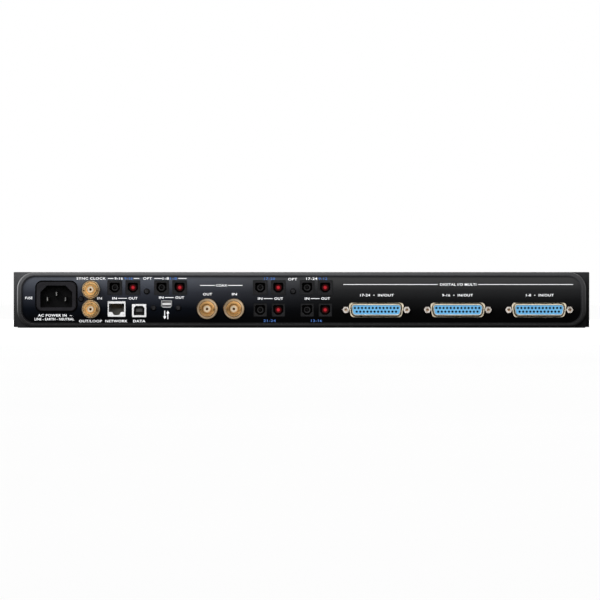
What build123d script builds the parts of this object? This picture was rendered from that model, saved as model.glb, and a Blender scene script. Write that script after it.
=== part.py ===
"""A rack-width digital audio interface, one rack unit high, as an assembly of separate pieces.

Millimetres. +Z is up, +X is the right-hand side seen from the front, the display side faces -Y
and the connector side faces +Y. The origin is on the underside, at the middle of the footprint.
"""

import math
import os

from build123d import *

# ---------------------------------------------------------------- driving dimensions
DEPTH = 177.8  # front bezel face to rear bezel face
FASCIA_W, FASCIA_H = 457.2, 43.7  # front plate: 18 in wide, one rack unit high
BODY_W, BODY_H = 440.0, 42.6  # the case, which passes between rack rails
SHEET = 1.2  # case steel
GAP = 0.2  # assembly gap between sheet parts

BEZEL_H = 42.1  # both bezels stand a little clear of the desk
BEZEL_R = 13.0  # outer corner radius of both bezels
BEZEL_SIDE, BEZEL_TOP = 4.1, 3.3  # width of the bezel's face
BEZEL_WALL = 1.2  # around the rear panel
BEZEL_PLATE_T = 1.5  # square-cornered plate between the rear bezel and the case
FRONT_BEZEL_T, REAR_BEZEL_T = 3.0, 9.0
FASCIA_T = 3.0
PANEL_T = 1.5  # rear panel
PANEL_RECESS = 2.5  # rear panel behind the bezel's face
PROUD = 11.0  # coaxial jacks and knob beyond the bezels' faces

# ---------------------------------------------------------------- planes along Y
FRONT_Y = -DEPTH / 2
REAR_Y = DEPTH / 2
FASCIA_Y = FRONT_Y + FRONT_BEZEL_T  # front face of the front plate
CASE_FRONT = FASCIA_Y + FASCIA_T
CASE_REAR = REAR_Y - REAR_BEZEL_T
PANEL_Y = REAR_Y - PANEL_RECESS  # outer face of the rear panel
PANEL_IN = PANEL_Y - PANEL_T  # inner face of the rear panel

# ---------------------------------------------------------------- heights
MID_Z = BODY_H / 2
FASCIA_Z = FASCIA_H / 2
COVER_Z = BODY_H - SHEET  # underside of the cover
BOARD_T = 1.6
BOARD_Z = 7.6  # top of the main board
UPPER_BOARD_Z = 25.5  # top of the board that carries the upper optical row

# ---------------------------------------------------------------- rear connectors: X, Z
MAINS = (189.6, 24.2)
CLOCK_IN, CLOCK_OUT = (163.0, 29.6), (163.0, 14.4)
COAX_OUT, COAX_IN = (73.0, 14.6), (52.3, 14.6)
NETWORK = (143.1, 14.6)
COMPUTER = (125.6, 13.3)
LINK = (104.4, 18.3)
OPTICAL_STEP = 14.0  # from an input to its output
UPPER_OPTICAL_Z, LOWER_OPTICAL_Z = 31.2, 13.9
OPTICAL_PAIRS = (  # X of the input, Z
    (144.5, UPPER_OPTICAL_Z),
    (108.3, UPPER_OPTICAL_Z),
    (32.0, UPPER_OPTICAL_Z),
    (-4.3, UPPER_OPTICAL_Z),
    (32.0, LOWER_OPTICAL_Z),
    (-4.3, LOWER_OPTICAL_Z),
)
MULTI_X = (-57.8, -120.8, -183.7)
MULTI_Z = 13.9
CONNECTOR_SCREWS = ((170.4, 22.3), (119.7, 28.2), (114.6, 15.3), (95.4, 15.3), (6.6, 28.2))

# ---------------------------------------------------------------- mains inlet
INLET_W, INLET_H, INLET_R, INLET_RIM = 30.8, 22.8, 4.5, 1.8
INLET_BODY_W, INLET_BODY_H, INLET_BODY_D = 27.4, 20.0, 22.0
INLET_BORE_W, INLET_BORE_H, INLET_BORE_D = 24.6, 16.9, 16.5
INLET_CUT = 5.2  # the two cut corners that key the plug
PIN_W, PIN_H, PIN_SPREAD, PIN_RISE = 2.0, 4.0, 7.0, 2.0
PIN_SHORT = 1.5  # pin tips below the panel's face
PIN_TAIL = 6.0

# ---------------------------------------------------------------- coaxial jacks
JACK_COLLAR_R, JACK_COLLAR_L = 6.3, 4.6  # 1/2 in thread
JACK_BARREL_R, JACK_BORE_R = 4.8, 4.05
JACK_TIP = PANEL_RECESS + PROUD  # from the panel's face
JACK_SEAT = 5.0  # floor of the bore
JACK_FLANGE_R, JACK_FLANGE_T = 7.3, 2.0
JACK_TAIL = 13.0
LUG_R, LUG_REACH, LUG_Y = 1.0, 5.55, 10.6
NUT_T = 2.7
CLOCK_NUT_R, COAX_NUT_R = 7.35, 8.3
NUT_NOTCHES = 30
INSULATOR_R, INSULATOR_TIP = 2.5, 10.4
SOCKET_R, SOCKET_HOLE_R, SOCKET_TIP = 1.05, 0.68, 10.9

# ---------------------------------------------------------------- optical receptacles
OPTICAL_SIDE, OPTICAL_D = 11.2, 15.5
OPTICAL_UPPER_PROUD = 0.5
OPTICAL_LOWER_WINDOW = 10.2
OPTICAL_HALF, OPTICAL_TOP = 3.95, 3.7  # half width and roof of the hole
OPTICAL_CUT, OPTICAL_TOP_CUT = 2.4, 0.75  # its lower and upper cut corners
OPTICAL_HOLE_D = 11.0
FERRULE_R, FERRULE_BORE_R, FERRULE_L = 2.7, 1.6, 4.0

# ---------------------------------------------------------------- 25-way connectors
D_FLANGE_W, D_FLANGE_H, D_FLANGE_T = 53.0, 12.5, 0.8
D_SHELL_W, D_SHELL_H, D_SHELL_WALL = 39.0, 8.4, 0.5
D_WINDOW_W, D_WINDOW_H = 43.2, 11.2
D_SHELL_TIP = 4.4  # beyond the panel's face
D_DISH = 1.4  # raised foot around the shell
D_SLOPE = math.tan(math.radians(10))
D_PITCH, D_ROW_GAP, D_HOLE_R = 2.76, 2.84, 0.66
SCREW_SPACING = 47.04
HEX_FLATS, HEX_L, HEX_BORE_R = 4.76, 5.4, 1.15

# ---------------------------------------------------------------- front controls: X, Z
WINDOW_W, WINDOW_H, WINDOW_T = 200.0, 26.0, 2.0
BUTTON_X, BUTTON_STEP = 120.0, 9.4
BUTTON_W, BUTTON_H, BUTTON_PROUD = 12.0, 5.6, 1.3
BUTTON_TRAVEL = 0.6
KNOB_X, KNOB_R = 152.0, 12.0
KNOB_FLUTES = 24
KNOB_TRAVEL = 0.5
POWER_X, POWER_R, POWER_PROUD, POWER_TRAVEL = 193.0, 5.5, 2.6, 2.0
LIGHT_X, LIGHT_STEP, LIGHT_W, LIGHT_H = -196.0, 13.0, 5.0, 2.2
LIGHT_ROWS, LIGHT_COLUMNS = (27.4, 16.3), 6

# ---------------------------------------------------------------- inside
FRONT_BOARD_Y = -74.5  # front face of the front board
POWER_SWITCH_Y = CASE_FRONT + 3.3  # front of the power switch, clear of the pressed cap
STANDOFF_FLATS = 5.0
UPPER_STANDOFFS = ((-18.0, 62.5), (60.0, 62.5), (148.0, 62.5))  # X, Y
FRONT_STANDOFFS = ((-202.0, 10.0), (-202.0, 34.0), (202.0, 10.0), (202.0, 34.0))  # X, Z
FAN_SIDE, FAN_T, FAN_Y, FAN_X = 35.0, 10.0, 24.0, -213.6
FAN_BORE_R, FAN_TIP_R, FAN_HUB_R = 16.6, 16.0, 9.0
FAN_BLADES = 7
VENT_W, VENT_H, VENT_STEP = 3.0, 28.0, 5.0
EAR_HOLE_R, EAR_HOLE_STEP_Y, EAR_HOLE_STEP_Z = 1.65, 24.0, 22.0
EAR_HOLE_Y = CASE_FRONT + 22.0  # middle of the four holes


# ---------------------------------------------------------------- shape helpers
def along_y(profile, y_from, y_to):
    """A solid whose profile is drawn in X and Z, running from y_from to y_to."""
    return extrude(Plane.XZ.offset(-y_from) * profile, amount=y_from - y_to)


def turned(points, x=0.0, z=0.0):
    """A solid turned about a line along Y through (x, z). Points are (radius, y)."""
    return Pos(x, 0, z) * revolve(make_face(Polyline(*points, close=True)), Axis.Y)


def rod(radius, y_from, y_to, x=0.0, z=0.0):
    """A round bar along Y."""
    return along_y(Pos(x, z) * Circle(radius), y_from, y_to)


def block(x, y, z):
    """A box given by its (low, high) on each axis."""
    size = [high - low for low, high in (x, y, z)]
    return Pos(sum(x) / 2, sum(y) / 2, sum(z) / 2) * Box(*size)


def rounded(x, z, width, height, radius):
    """A rounded rectangle profile centred on (x, z)."""
    return Pos(x, z) * RectangleRounded(width, height, radius)


def d_profile(width, height, radius):
    """The D outline of a 25-way connector, wide side up, centred on the origin."""
    top, lean = width / 2, height * D_SLOPE
    outline = Polyline(
        (-top, height / 2),
        (top, height / 2),
        (top - lean, -height / 2),
        (-top + lean, -height / 2),
        close=True,
    )
    face = make_face(outline)
    return fillet(face.vertices(), radius)


def rim(solid, y):
    """The outermost edges of a solid's end face in the plane at y."""
    face = min(solid.faces(), key=lambda f: abs(f.center().Y - y) - f.area * 1e-6)
    return face.outer_wire().edges()


def group(shapes):
    """Separate solids kept together as one part."""
    return Compound(children=[solid for shape in shapes for solid in shape.solids()])


def optical_spots():
    """X and Z of each receptacle, as (inputs, outputs)."""
    inputs = [(x, z) for x, z in OPTICAL_PAIRS]
    return inputs, [(x - OPTICAL_STEP, z) for x, z in inputs]


# ---------------------------------------------------------------- case
def case_screw_spots():
    """X and Y of the countersunk screws that hold the cover."""
    return [(x, y) for x in (-214.5, 214.5) for y in (CASE_FRONT + 12, -8.0, CASE_REAR - 12)]


def side_vents(x_wall, y_middle, count):
    """Upright slots through a side wall."""
    slots = []
    for i in range(count):
        y = y_middle + (i - (count - 1) / 2) * VENT_STEP
        slot = Rot(0, 90, 0) * extrude(SlotOverall(VENT_H, VENT_W), amount=6, both=True)
        slots.append(Pos(x_wall, y, MID_Z) * slot)
    return slots


def ear_holes(x_wall):
    """Four tapped holes for a rack ear or a side rail."""
    holes = []
    for dy in (-EAR_HOLE_STEP_Y / 2, EAR_HOLE_STEP_Y / 2):
        for dz in (-EAR_HOLE_STEP_Z / 2, EAR_HOLE_STEP_Z / 2):
            hole = Rot(0, 90, 0) * Cylinder(EAR_HOLE_R, 8)
            holes.append(Pos(x_wall, EAR_HOLE_Y + dy, MID_Z + dz) * hole)
    return holes


def chassis_pan():
    """Floor, side walls, front flange and the two lips under the cover."""
    half, lip = BODY_W / 2, 10.0
    pan = block((-half, half), (CASE_FRONT, CASE_REAR), (0, COVER_Z))
    pan = fillet(pan.edges().filter_by(Axis.Y).group_by(Axis.Z)[0], 1.0)
    inner = half - SHEET
    pan -= block((-inner, inner), (CASE_FRONT + SHEET, CASE_REAR + 1), (SHEET, COVER_Z - SHEET))
    pan -= block((-half + lip, half - lip), (CASE_FRONT + SHEET, CASE_REAR + 1), (SHEET, COVER_Z + 1))
    pan -= along_y(rounded(0, MID_Z + 0.6, 412, 33.5, 3), CASE_FRONT - 1, CASE_FRONT + 3)
    for x, y in case_screw_spots():
        pan -= Pos(x, y, COVER_Z) * Cylinder(1.55, 6)
    pan -= side_vents(-half, FAN_Y, 6)
    pan -= side_vents(half, 10.0, 12)
    for wall in (-half, half):
        pan -= ear_holes(wall)
    return pan


def top_cover():
    """Flat lid with countersunk screw holes."""
    half = BODY_W / 2
    cover = block((-half, half), (CASE_FRONT, CASE_REAR), (COVER_Z, BODY_H))
    cover = fillet(cover.edges().filter_by(Axis.Y).group_by(Axis.Z)[-1], 1.0)
    for x, y in case_screw_spots():
        cover -= Pos(x, y, COVER_Z) * Cylinder(1.6, 6)
        cover -= Pos(x, y, BODY_H - 0.55) * Cone(1.85, 2.95, 1.1)
    return cover


def case_screws():
    """Countersunk screws, each with a cross recess, flush with the cover."""
    screws = []
    for x, y in case_screw_spots():
        head = Pos(0, 0, -0.56) * Cone(1.78, 2.86, 1.04)
        shank = Pos(0, 0, -3.5) * Cylinder(1.5, 6)
        cross = Box(2.8, 0.55, 1.0) + Box(0.55, 2.8, 1.0)
        screws.append(Pos(x, y, BODY_H) * (head + shank - cross))
    return group(screws)


def bezel_outline(side, top):
    """The bezel's outer outline, moved in by side and top."""
    return rounded(0, FASCIA_Z, BODY_W - 2 * side, BEZEL_H - 2 * top, BEZEL_R - top)


def bezel(y_face, thickness, outward):
    """A rounded frame. outward is the way along Y that its face looks."""
    y_back = y_face - outward * thickness
    frame = along_y(bezel_outline(0, 0), y_back, y_face)
    frame = fillet(rim(frame, y_face), 1.1)
    frame -= along_y(bezel_outline(BEZEL_SIDE, BEZEL_TOP), y_back - outward, y_face + outward)
    face = max(frame.faces().filter_by(Axis.Y), key=lambda f: f.center().Y * outward)
    return chamfer(face.inner_wires()[0].edges(), 1.0)


def front_bezel():
    """Frame on the front plate."""
    return bezel(FRONT_Y, FRONT_BEZEL_T, -1)


def rear_bezel():
    """Frame on a plate that closes the case's corners, with a pocket that holds the rear panel."""
    frame = bezel(REAR_Y, REAR_BEZEL_T, 1)
    frame += along_y(rounded(0, MID_Z, BODY_W, BODY_H, 1.0), CASE_REAR, CASE_REAR + BEZEL_PLATE_T)
    return frame - along_y(bezel_outline(BEZEL_WALL, BEZEL_WALL), CASE_REAR - 1, PANEL_Y)


def rear_windows():
    """Every hole in the rear panel, as one list of profiles."""
    holes = [rounded(*MAINS, INLET_BODY_W + 0.2, INLET_BODY_H + 0.2, 1.0)]
    for spot in (CLOCK_IN, CLOCK_OUT, COAX_OUT, COAX_IN):
        holes.append(Pos(*spot) * Circle(JACK_COLLAR_R + 0.15))
    for spots in optical_spots():
        for x, z in spots:
            side = OPTICAL_SIDE + 0.2 if z == UPPER_OPTICAL_Z else OPTICAL_LOWER_WINDOW
            holes.append(rounded(x, z, side, side, 0.5))
    holes.append(rounded(*NETWORK, 13.8, 12.0, 0.4))
    holes.append(rounded(*COMPUTER, 11.2, 10.3, 0.5))
    holes.append(rounded(*LINK, 8.5, 5.8, 0.3))
    for x in MULTI_X:
        holes.append(Pos(x, MULTI_Z) * d_profile(D_WINDOW_W, D_WINDOW_H, 2.6))
        for side in (-1, 1):
            holes.append(Pos(x + side * SCREW_SPACING / 2, MULTI_Z) * Circle(1.6))
    holes += [Pos(*spot) * Circle(1.3) for spot in CONNECTOR_SCREWS]
    return holes


def rear_panel():
    """Connector plate with a folded flange that stands on the floor on five pressed feet."""
    edge = BEZEL_WALL + GAP
    plate = along_y(bezel_outline(edge, edge), PANEL_IN, PANEL_Y)
    for hole in rear_windows():
        plate -= along_y(hole, PANEL_IN - 1, PANEL_Y + 1)
    z_low = FASCIA_Z - BEZEL_H / 2 + edge
    plate += block((-200, 200), (PANEL_IN - 15, PANEL_IN), (z_low, z_low + PANEL_T))
    for x in range(-190, 191, 95):
        plate += Pos(x, PANEL_IN - 11, (SHEET + z_low) / 2) * Cylinder(3.5, z_low - SHEET)
    return plate


def connector_screws():
    """Small pan-head screws, cross recessed, that hold connectors to the rear panel."""
    profile = ((0, -5), (1.2, -5), (1.2, 0), (2.3, 0), (2.3, 0.5), (1.5, 1.2), (0, 1.2))
    cross = Box(2.2, 1.0, 0.5) + Box(0.5, 1.0, 2.2)
    screw = turned(profile) - Pos(0, 1.2, 0) * cross
    return group([Pos(x, PANEL_Y, z) * screw for x, z in CONNECTOR_SCREWS])


# ---------------------------------------------------------------- front
def light_spots():
    """X and Z of the status lights."""
    return [(LIGHT_X + i * LIGHT_STEP, z) for z in LIGHT_ROWS for i in range(LIGHT_COLUMNS)]


def button_spots():
    """X and Z of the three menu buttons, from the top down."""
    return [(BUTTON_X, FASCIA_Z + i * BUTTON_STEP) for i in (1, 0, -1)]


def front_panel():
    """Front plate with the display opening and the holes for the controls."""
    plate = along_y(rounded(0, FASCIA_Z, FASCIA_W, FASCIA_H, 0.6), FASCIA_Y, CASE_FRONT)
    holes = [rounded(0, FASCIA_Z, WINDOW_W + GAP, WINDOW_H + GAP, 2.1)]
    holes += [rounded(x, z, BUTTON_W + 0.6, BUTTON_H + 0.6, 1.5) for x, z in button_spots()]
    holes += [rounded(x, z, LIGHT_W, LIGHT_H, 0.6) for x, z in light_spots()]
    holes.append(Pos(KNOB_X, FASCIA_Z) * Circle(3.7))
    holes.append(Pos(POWER_X, FASCIA_Z) * Circle(POWER_R + 0.3))
    for hole in holes:
        plate -= along_y(hole, FASCIA_Y - 1, CASE_FRONT + 1)
    return plate


def display_window():
    """Clear window, flush with the front plate."""
    lens = along_y(rounded(0, FASCIA_Z, WINDOW_W, WINDOW_H, 2), FASCIA_Y, FASCIA_Y + WINDOW_T)
    return chamfer(rim(lens, FASCIA_Y), 0.3)


def display_module():
    """Display panel in its frame, carried by the front board."""
    frame = block((-99, 99), (CASE_FRONT + 0.4, FRONT_BOARD_Y), (FASCIA_Z - 12.6, FASCIA_Z + 12.6))
    return frame - block((-95, 95), (CASE_FRONT, CASE_FRONT + 1.4), (FASCIA_Z - 10.5, FASCIA_Z + 10.5))


def front_board():
    """Circuit board behind the front plate."""
    return block((-205, 205), (FRONT_BOARD_Y, FRONT_BOARD_Y + BOARD_T), (6, 38))


def encoder_body():
    """Encoder housing with its bushing, hollow for the plunger and the shaft."""
    case = block(
        (KNOB_X - 6, KNOB_X + 6), (FRONT_BOARD_Y - 6.5, FRONT_BOARD_Y), (FASCIA_Z - 6, FASCIA_Z + 6)
    )
    case += rod(3.5, FASCIA_Y - 0.8, FRONT_BOARD_Y - 6.5, KNOB_X, FASCIA_Z)
    case -= rod(3.06, FASCIA_Y - 2, FRONT_BOARD_Y - 5.5, KNOB_X, FASCIA_Z)
    return case - rod(3.4, FRONT_BOARD_Y - 5.5, FRONT_BOARD_Y - 1.8, KNOB_X, FASCIA_Z)


def encoder_plunger():
    """Disc that the shaft pushes when the knob is pressed."""
    return rod(2.6, FRONT_BOARD_Y - 4.45, FRONT_BOARD_Y - 2.5, KNOB_X, FASCIA_Z)


def encoder_shaft():
    """Shaft with a flat for the knob."""
    y_tip, y_end = FRONT_Y - 8.0, FRONT_BOARD_Y - 4.5
    shaft = rod(3.0, y_tip, y_end, KNOB_X, FASCIA_Z)
    flat = block((KNOB_X - 4, KNOB_X + 4), (y_tip - 1, FASCIA_Y - 2), (FASCIA_Z + 1.5, FASCIA_Z + 4))
    return shaft - flat


def nav_knob():
    """Fluted knob with a finger dimple, bored for the shaft."""
    y_back, y_face = FASCIA_Y - 1.6, FRONT_Y - PROUD
    points = (
        (0, y_back),
        (KNOB_R, y_back),
        (KNOB_R, y_back - 1.2),
        (KNOB_R - 0.6, y_back - 1.8),
        (KNOB_R - 1.2, y_face + 1.0),
        (KNOB_R - 2.2, y_face),
        (0, y_face),
    )
    knob = turned(points)
    for i in range(KNOB_FLUTES):
        angle = 2 * math.pi * i / KNOB_FLUTES
        x, z = KNOB_R * math.cos(angle), KNOB_R * math.sin(angle)
        knob -= rod(0.75, y_back - 1.8, y_face - 1, x, z)
    knob -= Pos(0, y_face - 4.2, 6.0) * Sphere(5.0)
    knob = Pos(KNOB_X, 0, FASCIA_Z) * knob
    return knob - encoder_shaft()


def menu_button(x, z):
    """Rectangular cap with a retaining flange behind the front plate and a stem."""
    y_face = FASCIA_Y - BUTTON_PROUD
    cap = along_y(rounded(x, z, BUTTON_W, BUTTON_H, 1.2), y_face, CASE_FRONT + 0.2)
    cap = fillet(rim(cap, y_face), 0.5)
    cap += along_y(rounded(x, z, BUTTON_W + 1.6, BUTTON_H + 1.6, 1.2), CASE_FRONT + 0.2, CASE_FRONT + 1.1)
    return cap + rod(1.5, CASE_FRONT + 1.1, FRONT_BOARD_Y - 4.4, x, z)


def button_switches():
    """Tactile switches behind the menu buttons."""
    switches = []
    for x, z in button_spots():
        base = block((x - 3, x + 3), (FRONT_BOARD_Y - 3.0, FRONT_BOARD_Y), (z - 3, z + 3))
        switches.append(base + rod(1.7, FRONT_BOARD_Y - 4.4 + BUTTON_TRAVEL + 0.1, FRONT_BOARD_Y - 3, x, z))
    return group(switches)


def power_button():
    """Round cap on a stem, with a retaining flange."""
    y_face = FASCIA_Y - POWER_PROUD
    cap = rod(POWER_R, y_face, CASE_FRONT + 0.2, POWER_X, FASCIA_Z)
    cap = fillet(rim(cap, y_face), 0.8)
    cap += rod(POWER_R + 1, CASE_FRONT + 0.2, CASE_FRONT + 1.0, POWER_X, FASCIA_Z)
    return cap + rod(1.6, CASE_FRONT + 1.0, POWER_SWITCH_Y + 0.6, POWER_X, FASCIA_Z)


def power_switch():
    """Latching switch on the front board, hollow for the button's stem."""
    x, z = POWER_X, FASCIA_Z
    body = block((x - 4, x + 4), (POWER_SWITCH_Y, FRONT_BOARD_Y), (z - 4, z + 4))
    return body - rod(2.0, POWER_SWITCH_Y - 1, POWER_SWITCH_Y + POWER_TRAVEL + 1.0, x, z)


def light_pipes():
    """Clear pipes that carry the status lights to the front plate."""
    pipes = []
    for x, z in light_spots():
        head = rounded(x, z, LIGHT_W - 0.1, LIGHT_H - 0.1, 0.5)
        pipes.append(along_y(head, FASCIA_Y - 0.3, FRONT_BOARD_Y - 0.8))
    return group(pipes)


# ---------------------------------------------------------------- mains inlet
def inlet_bore():
    """Profile of the cavity, with its two upper corners cut."""
    half_w, half_h = INLET_BORE_W / 2, INLET_BORE_H / 2
    outline = Polyline(
        (-half_w, -half_h),
        (half_w, -half_h),
        (half_w, half_h - INLET_CUT),
        (half_w - INLET_CUT, half_h),
        (-half_w + INLET_CUT, half_h),
        (-half_w, half_h - INLET_CUT),
        close=True,
    )
    face = make_face(outline)
    return fillet(face.vertices(), 0.8)


def mains_pin_spots():
    """X and Z of the two line pins and the earth pin."""
    x, z = MAINS
    return [(x - PIN_SPREAD, z - PIN_RISE), (x + PIN_SPREAD, z - PIN_RISE), (x, z + PIN_RISE)]


def mains_pins():
    """Three blades with tapered tips and solder tails."""
    pins = []
    y_back = PANEL_Y - INLET_BODY_D - PIN_TAIL
    for x, z in mains_pin_spots():
        pin = block(
            (x - PIN_W / 2, x + PIN_W / 2), (y_back, PANEL_Y - PIN_SHORT), (z - PIN_H / 2, z + PIN_H / 2)
        )
        tip = pin.faces().sort_by(Axis.Y)[-1]
        pins.append(chamfer(tip.edges(), 0.6))
    return group(pins)


def mains_inlet():
    """Snap-in appliance inlet."""
    x, z = MAINS
    y_back = PANEL_Y - INLET_BODY_D
    flange = along_y(rounded(x, z, INLET_W, INLET_H, INLET_R), PANEL_Y, PANEL_Y + INLET_RIM)
    flange = fillet(rim(flange, PANEL_Y + INLET_RIM), 0.7)
    body = flange + along_y(rounded(x, z, INLET_BODY_W, INLET_BODY_H, 0.8), y_back, PANEL_Y)
    body -= along_y(Pos(x, z) * inlet_bore(), PANEL_Y - INLET_BORE_D, PANEL_Y + INLET_RIM + 1)
    return body - mains_pins()


# ---------------------------------------------------------------- coaxial jacks
def coaxial_jack(x, z):
    """Bayonet jack: barrel, threaded collar, inner flange and rear body."""
    points = (
        (INSULATOR_R, -JACK_TAIL),
        (JACK_COLLAR_R, -JACK_TAIL),
        (JACK_COLLAR_R, -PANEL_T - JACK_FLANGE_T),
        (JACK_FLANGE_R, -PANEL_T - JACK_FLANGE_T),
        (JACK_FLANGE_R, -PANEL_T),
        (JACK_COLLAR_R, -PANEL_T),
        (JACK_COLLAR_R, JACK_COLLAR_L - 0.5),
        (JACK_COLLAR_R - 0.5, JACK_COLLAR_L),
        (JACK_BARREL_R, JACK_COLLAR_L),
        (JACK_BARREL_R, JACK_TIP - 0.4),
        (JACK_BARREL_R - 0.35, JACK_TIP),
        (JACK_BORE_R + 0.2, JACK_TIP),
        (JACK_BORE_R, JACK_TIP - 0.3),
        (JACK_BORE_R, JACK_SEAT),
        (INSULATOR_R, JACK_SEAT),
    )
    jack = turned(points)
    for side in (-1, 1):
        lug = Rot(0, 0, 90) * along_y(Circle(LUG_R), JACK_BARREL_R - 0.4, LUG_REACH)
        jack += Rot(0, 90 + side * 90, 0) * (Pos(0, LUG_Y, 0) * lug)
    return Pos(x, PANEL_Y, z) * jack


def jack_spots():
    """X and Z of the four jacks, each with its nut's radius."""
    return [(CLOCK_IN, CLOCK_NUT_R), (CLOCK_OUT, CLOCK_NUT_R), (COAX_OUT, COAX_NUT_R), (COAX_IN, COAX_NUT_R)]


def jack_nut(x, z, radius):
    """Notched ring nut on the jack's collar."""
    bore_r = JACK_COLLAR_R + 0.05
    blank = ((bore_r, 0), (radius, 0), (radius, NUT_T - 0.7), (radius - 0.7, NUT_T), (bore_r, NUT_T))
    nut = turned(blank)
    notch_r = 0.32
    for i in range(NUT_NOTCHES):
        angle = 2 * math.pi * i / NUT_NOTCHES
        nut -= rod(notch_r, -1, NUT_T + 1, radius * math.cos(angle), radius * math.sin(angle))
    return Pos(x, PANEL_Y, z) * nut


def jack_insulator(x, z):
    """White sleeve around the socket contact."""
    points = (
        (SOCKET_R, -JACK_TAIL),
        (INSULATOR_R, -JACK_TAIL),
        (INSULATOR_R, INSULATOR_TIP - 0.4),
        (INSULATOR_R - 0.4, INSULATOR_TIP),
        (SOCKET_R, INSULATOR_TIP),
    )
    return turned(points, x, z).moved(Location((0, PANEL_Y, 0)))


def jack_contact(x, z):
    """Gold socket contact with its tail."""
    points = (
        (0, -JACK_TAIL - 4),
        (0.5, -JACK_TAIL - 4),
        (SOCKET_R, -JACK_TAIL),
        (SOCKET_R, SOCKET_TIP - 0.2),
        (SOCKET_R - 0.2, SOCKET_TIP),
        (SOCKET_HOLE_R, SOCKET_TIP),
        (SOCKET_HOLE_R, SOCKET_TIP - 5),
        (0, SOCKET_TIP - 5),
    )
    return turned(points, x, z).moved(Location((0, PANEL_Y, 0)))


# ---------------------------------------------------------------- optical receptacles
def optical_face(z):
    """Y of a receptacle's front face: the upper row stands proud, the lower sits behind the panel."""
    return PANEL_Y + OPTICAL_UPPER_PROUD if z == UPPER_OPTICAL_Z else PANEL_IN


def optical_hole():
    """Square hole, its lower corners cut deep and its upper ones a little."""
    half, top, low, high = OPTICAL_HALF, OPTICAL_TOP, OPTICAL_CUT, OPTICAL_TOP_CUT
    right = [(half - low, -half), (half, low - half), (half, top - high), (half - high, top)]
    left = [(-x, z) for x, z in reversed(right)]
    return make_face(Polyline(*right, *left, close=True))


def optical_housing(x, z):
    """Square housing with a keyed hole."""
    y_face = optical_face(z)
    body = along_y(rounded(x, z, OPTICAL_SIDE, OPTICAL_SIDE, 0.4), y_face - OPTICAL_D, y_face)
    return body - along_y(Pos(x, z) * optical_hole(), y_face - OPTICAL_HOLE_D, y_face + 1)


def optical_pair(x, z):
    """The input and the output of one optical bank."""
    return group([optical_housing(x, z), optical_housing(x - OPTICAL_STEP, z)])


def optical_element(x, z):
    """Ferrule sleeve on the hole's floor, and the domed lens in it."""
    y_floor = optical_face(z) - OPTICAL_HOLE_D
    y_tip = y_floor + FERRULE_L
    sleeve = rod(FERRULE_R, y_floor, y_tip, x, z) - rod(FERRULE_BORE_R, y_floor - 1, y_tip + 1, x, z)
    lens = rod(FERRULE_BORE_R - 0.02, y_floor, y_tip - 0.6, x, z)
    return group([chamfer(rim(sleeve, y_tip), 0.3), fillet(rim(lens, y_tip - 0.6), 0.7)])


# ---------------------------------------------------------------- 25-way connectors
def d_outline(x, inset=0.0):
    """The shell's outline at x, shrunk by inset."""
    width, height = D_SHELL_W - 2 * inset, D_SHELL_H - 2 * inset
    return Pos(x, MULTI_Z) * d_profile(width, height, 2.4 - inset)


def multi_io_shell(x):
    """Plated steel flange, raised foot and D shell."""
    z = MULTI_Z
    shell = along_y(d_outline(x, -1.2), PANEL_IN, PANEL_IN + D_DISH)
    shell = chamfer(rim(shell, PANEL_IN + D_DISH), 0.9)
    shell += along_y(rounded(x, z, D_FLANGE_W, D_FLANGE_H, 1.2), PANEL_IN - D_FLANGE_T, PANEL_IN)
    shell += along_y(d_outline(x), PANEL_IN, PANEL_Y + D_SHELL_TIP)
    shell -= along_y(d_outline(x, D_SHELL_WALL), PANEL_IN - D_FLANGE_T - 1, PANEL_Y + D_SHELL_TIP + 1)
    for side in (-1, 1):
        shell -= rod(1.6, PANEL_IN - 3, PANEL_IN + 1, x + side * SCREW_SPACING / 2, z)
    return shell


def d_holes(x):
    """X and Z of the 25 sockets: 13 above, 12 below."""
    upper = [(x + (i - 6) * D_PITCH, MULTI_Z + D_ROW_GAP / 2) for i in range(13)]
    lower = [(x + (i - 5.5) * D_PITCH, MULTI_Z - D_ROW_GAP / 2) for i in range(12)]
    return upper + lower


def multi_io_insert(x):
    """Socket block inside the shell, with its wider rear body."""
    y_face = PANEL_Y + D_SHELL_TIP - 0.5
    y_back = PANEL_IN - D_FLANGE_T
    insert = along_y(d_outline(x, D_SHELL_WALL + 0.03), y_back, y_face)
    holes = Sketch() + [Pos(*spot) * Circle(D_HOLE_R) for spot in d_holes(x)]
    insert -= along_y(holes, y_face - 4.5, y_face + 1)
    rear = block((x - 20, x + 20), (y_back - 8.5, y_back), (BOARD_Z + 0.3, MULTI_Z + 5.4))
    return insert + rear


def jackscrews():
    """Hexagonal jackscrews with a tapped bore, two to a connector."""
    screws = []
    tail = 3.8
    for x in MULTI_X:
        for side in (-1, 1):
            at = Pos(x + side * SCREW_SPACING / 2, MULTI_Z)
            hexagon = RegularPolygon(HEX_FLATS / 2, 6, major_radius=False)
            head = along_y(at * hexagon, PANEL_Y, PANEL_Y + HEX_L)
            head &= along_y(at * Circle(HEX_FLATS / 2 + 0.22), PANEL_Y, PANEL_Y + HEX_L)
            screw = head + along_y(at * Circle(1.4), PANEL_IN - tail, PANEL_Y)
            screws.append(screw - along_y(at * Circle(HEX_BORE_R), PANEL_Y + 0.2, PANEL_Y + HEX_L + 1))
    return group(screws)


# ---------------------------------------------------------------- data jacks
def network_mouth():
    """Opening of the network jack: a wide slot over the latch's keyway."""
    half, latch, neck = 5.9, 3.4, 2.1
    top, shoulder, low = 4.15, -2.4, -4.7
    outline = Polyline(
        (-half, top),
        (half, top),
        (half, shoulder),
        (latch, shoulder),
        (neck, low),
        (-neck, low),
        (-latch, shoulder),
        (-half, shoulder),
        close=True,
    )
    return Pos(*NETWORK) * make_face(outline)


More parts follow.
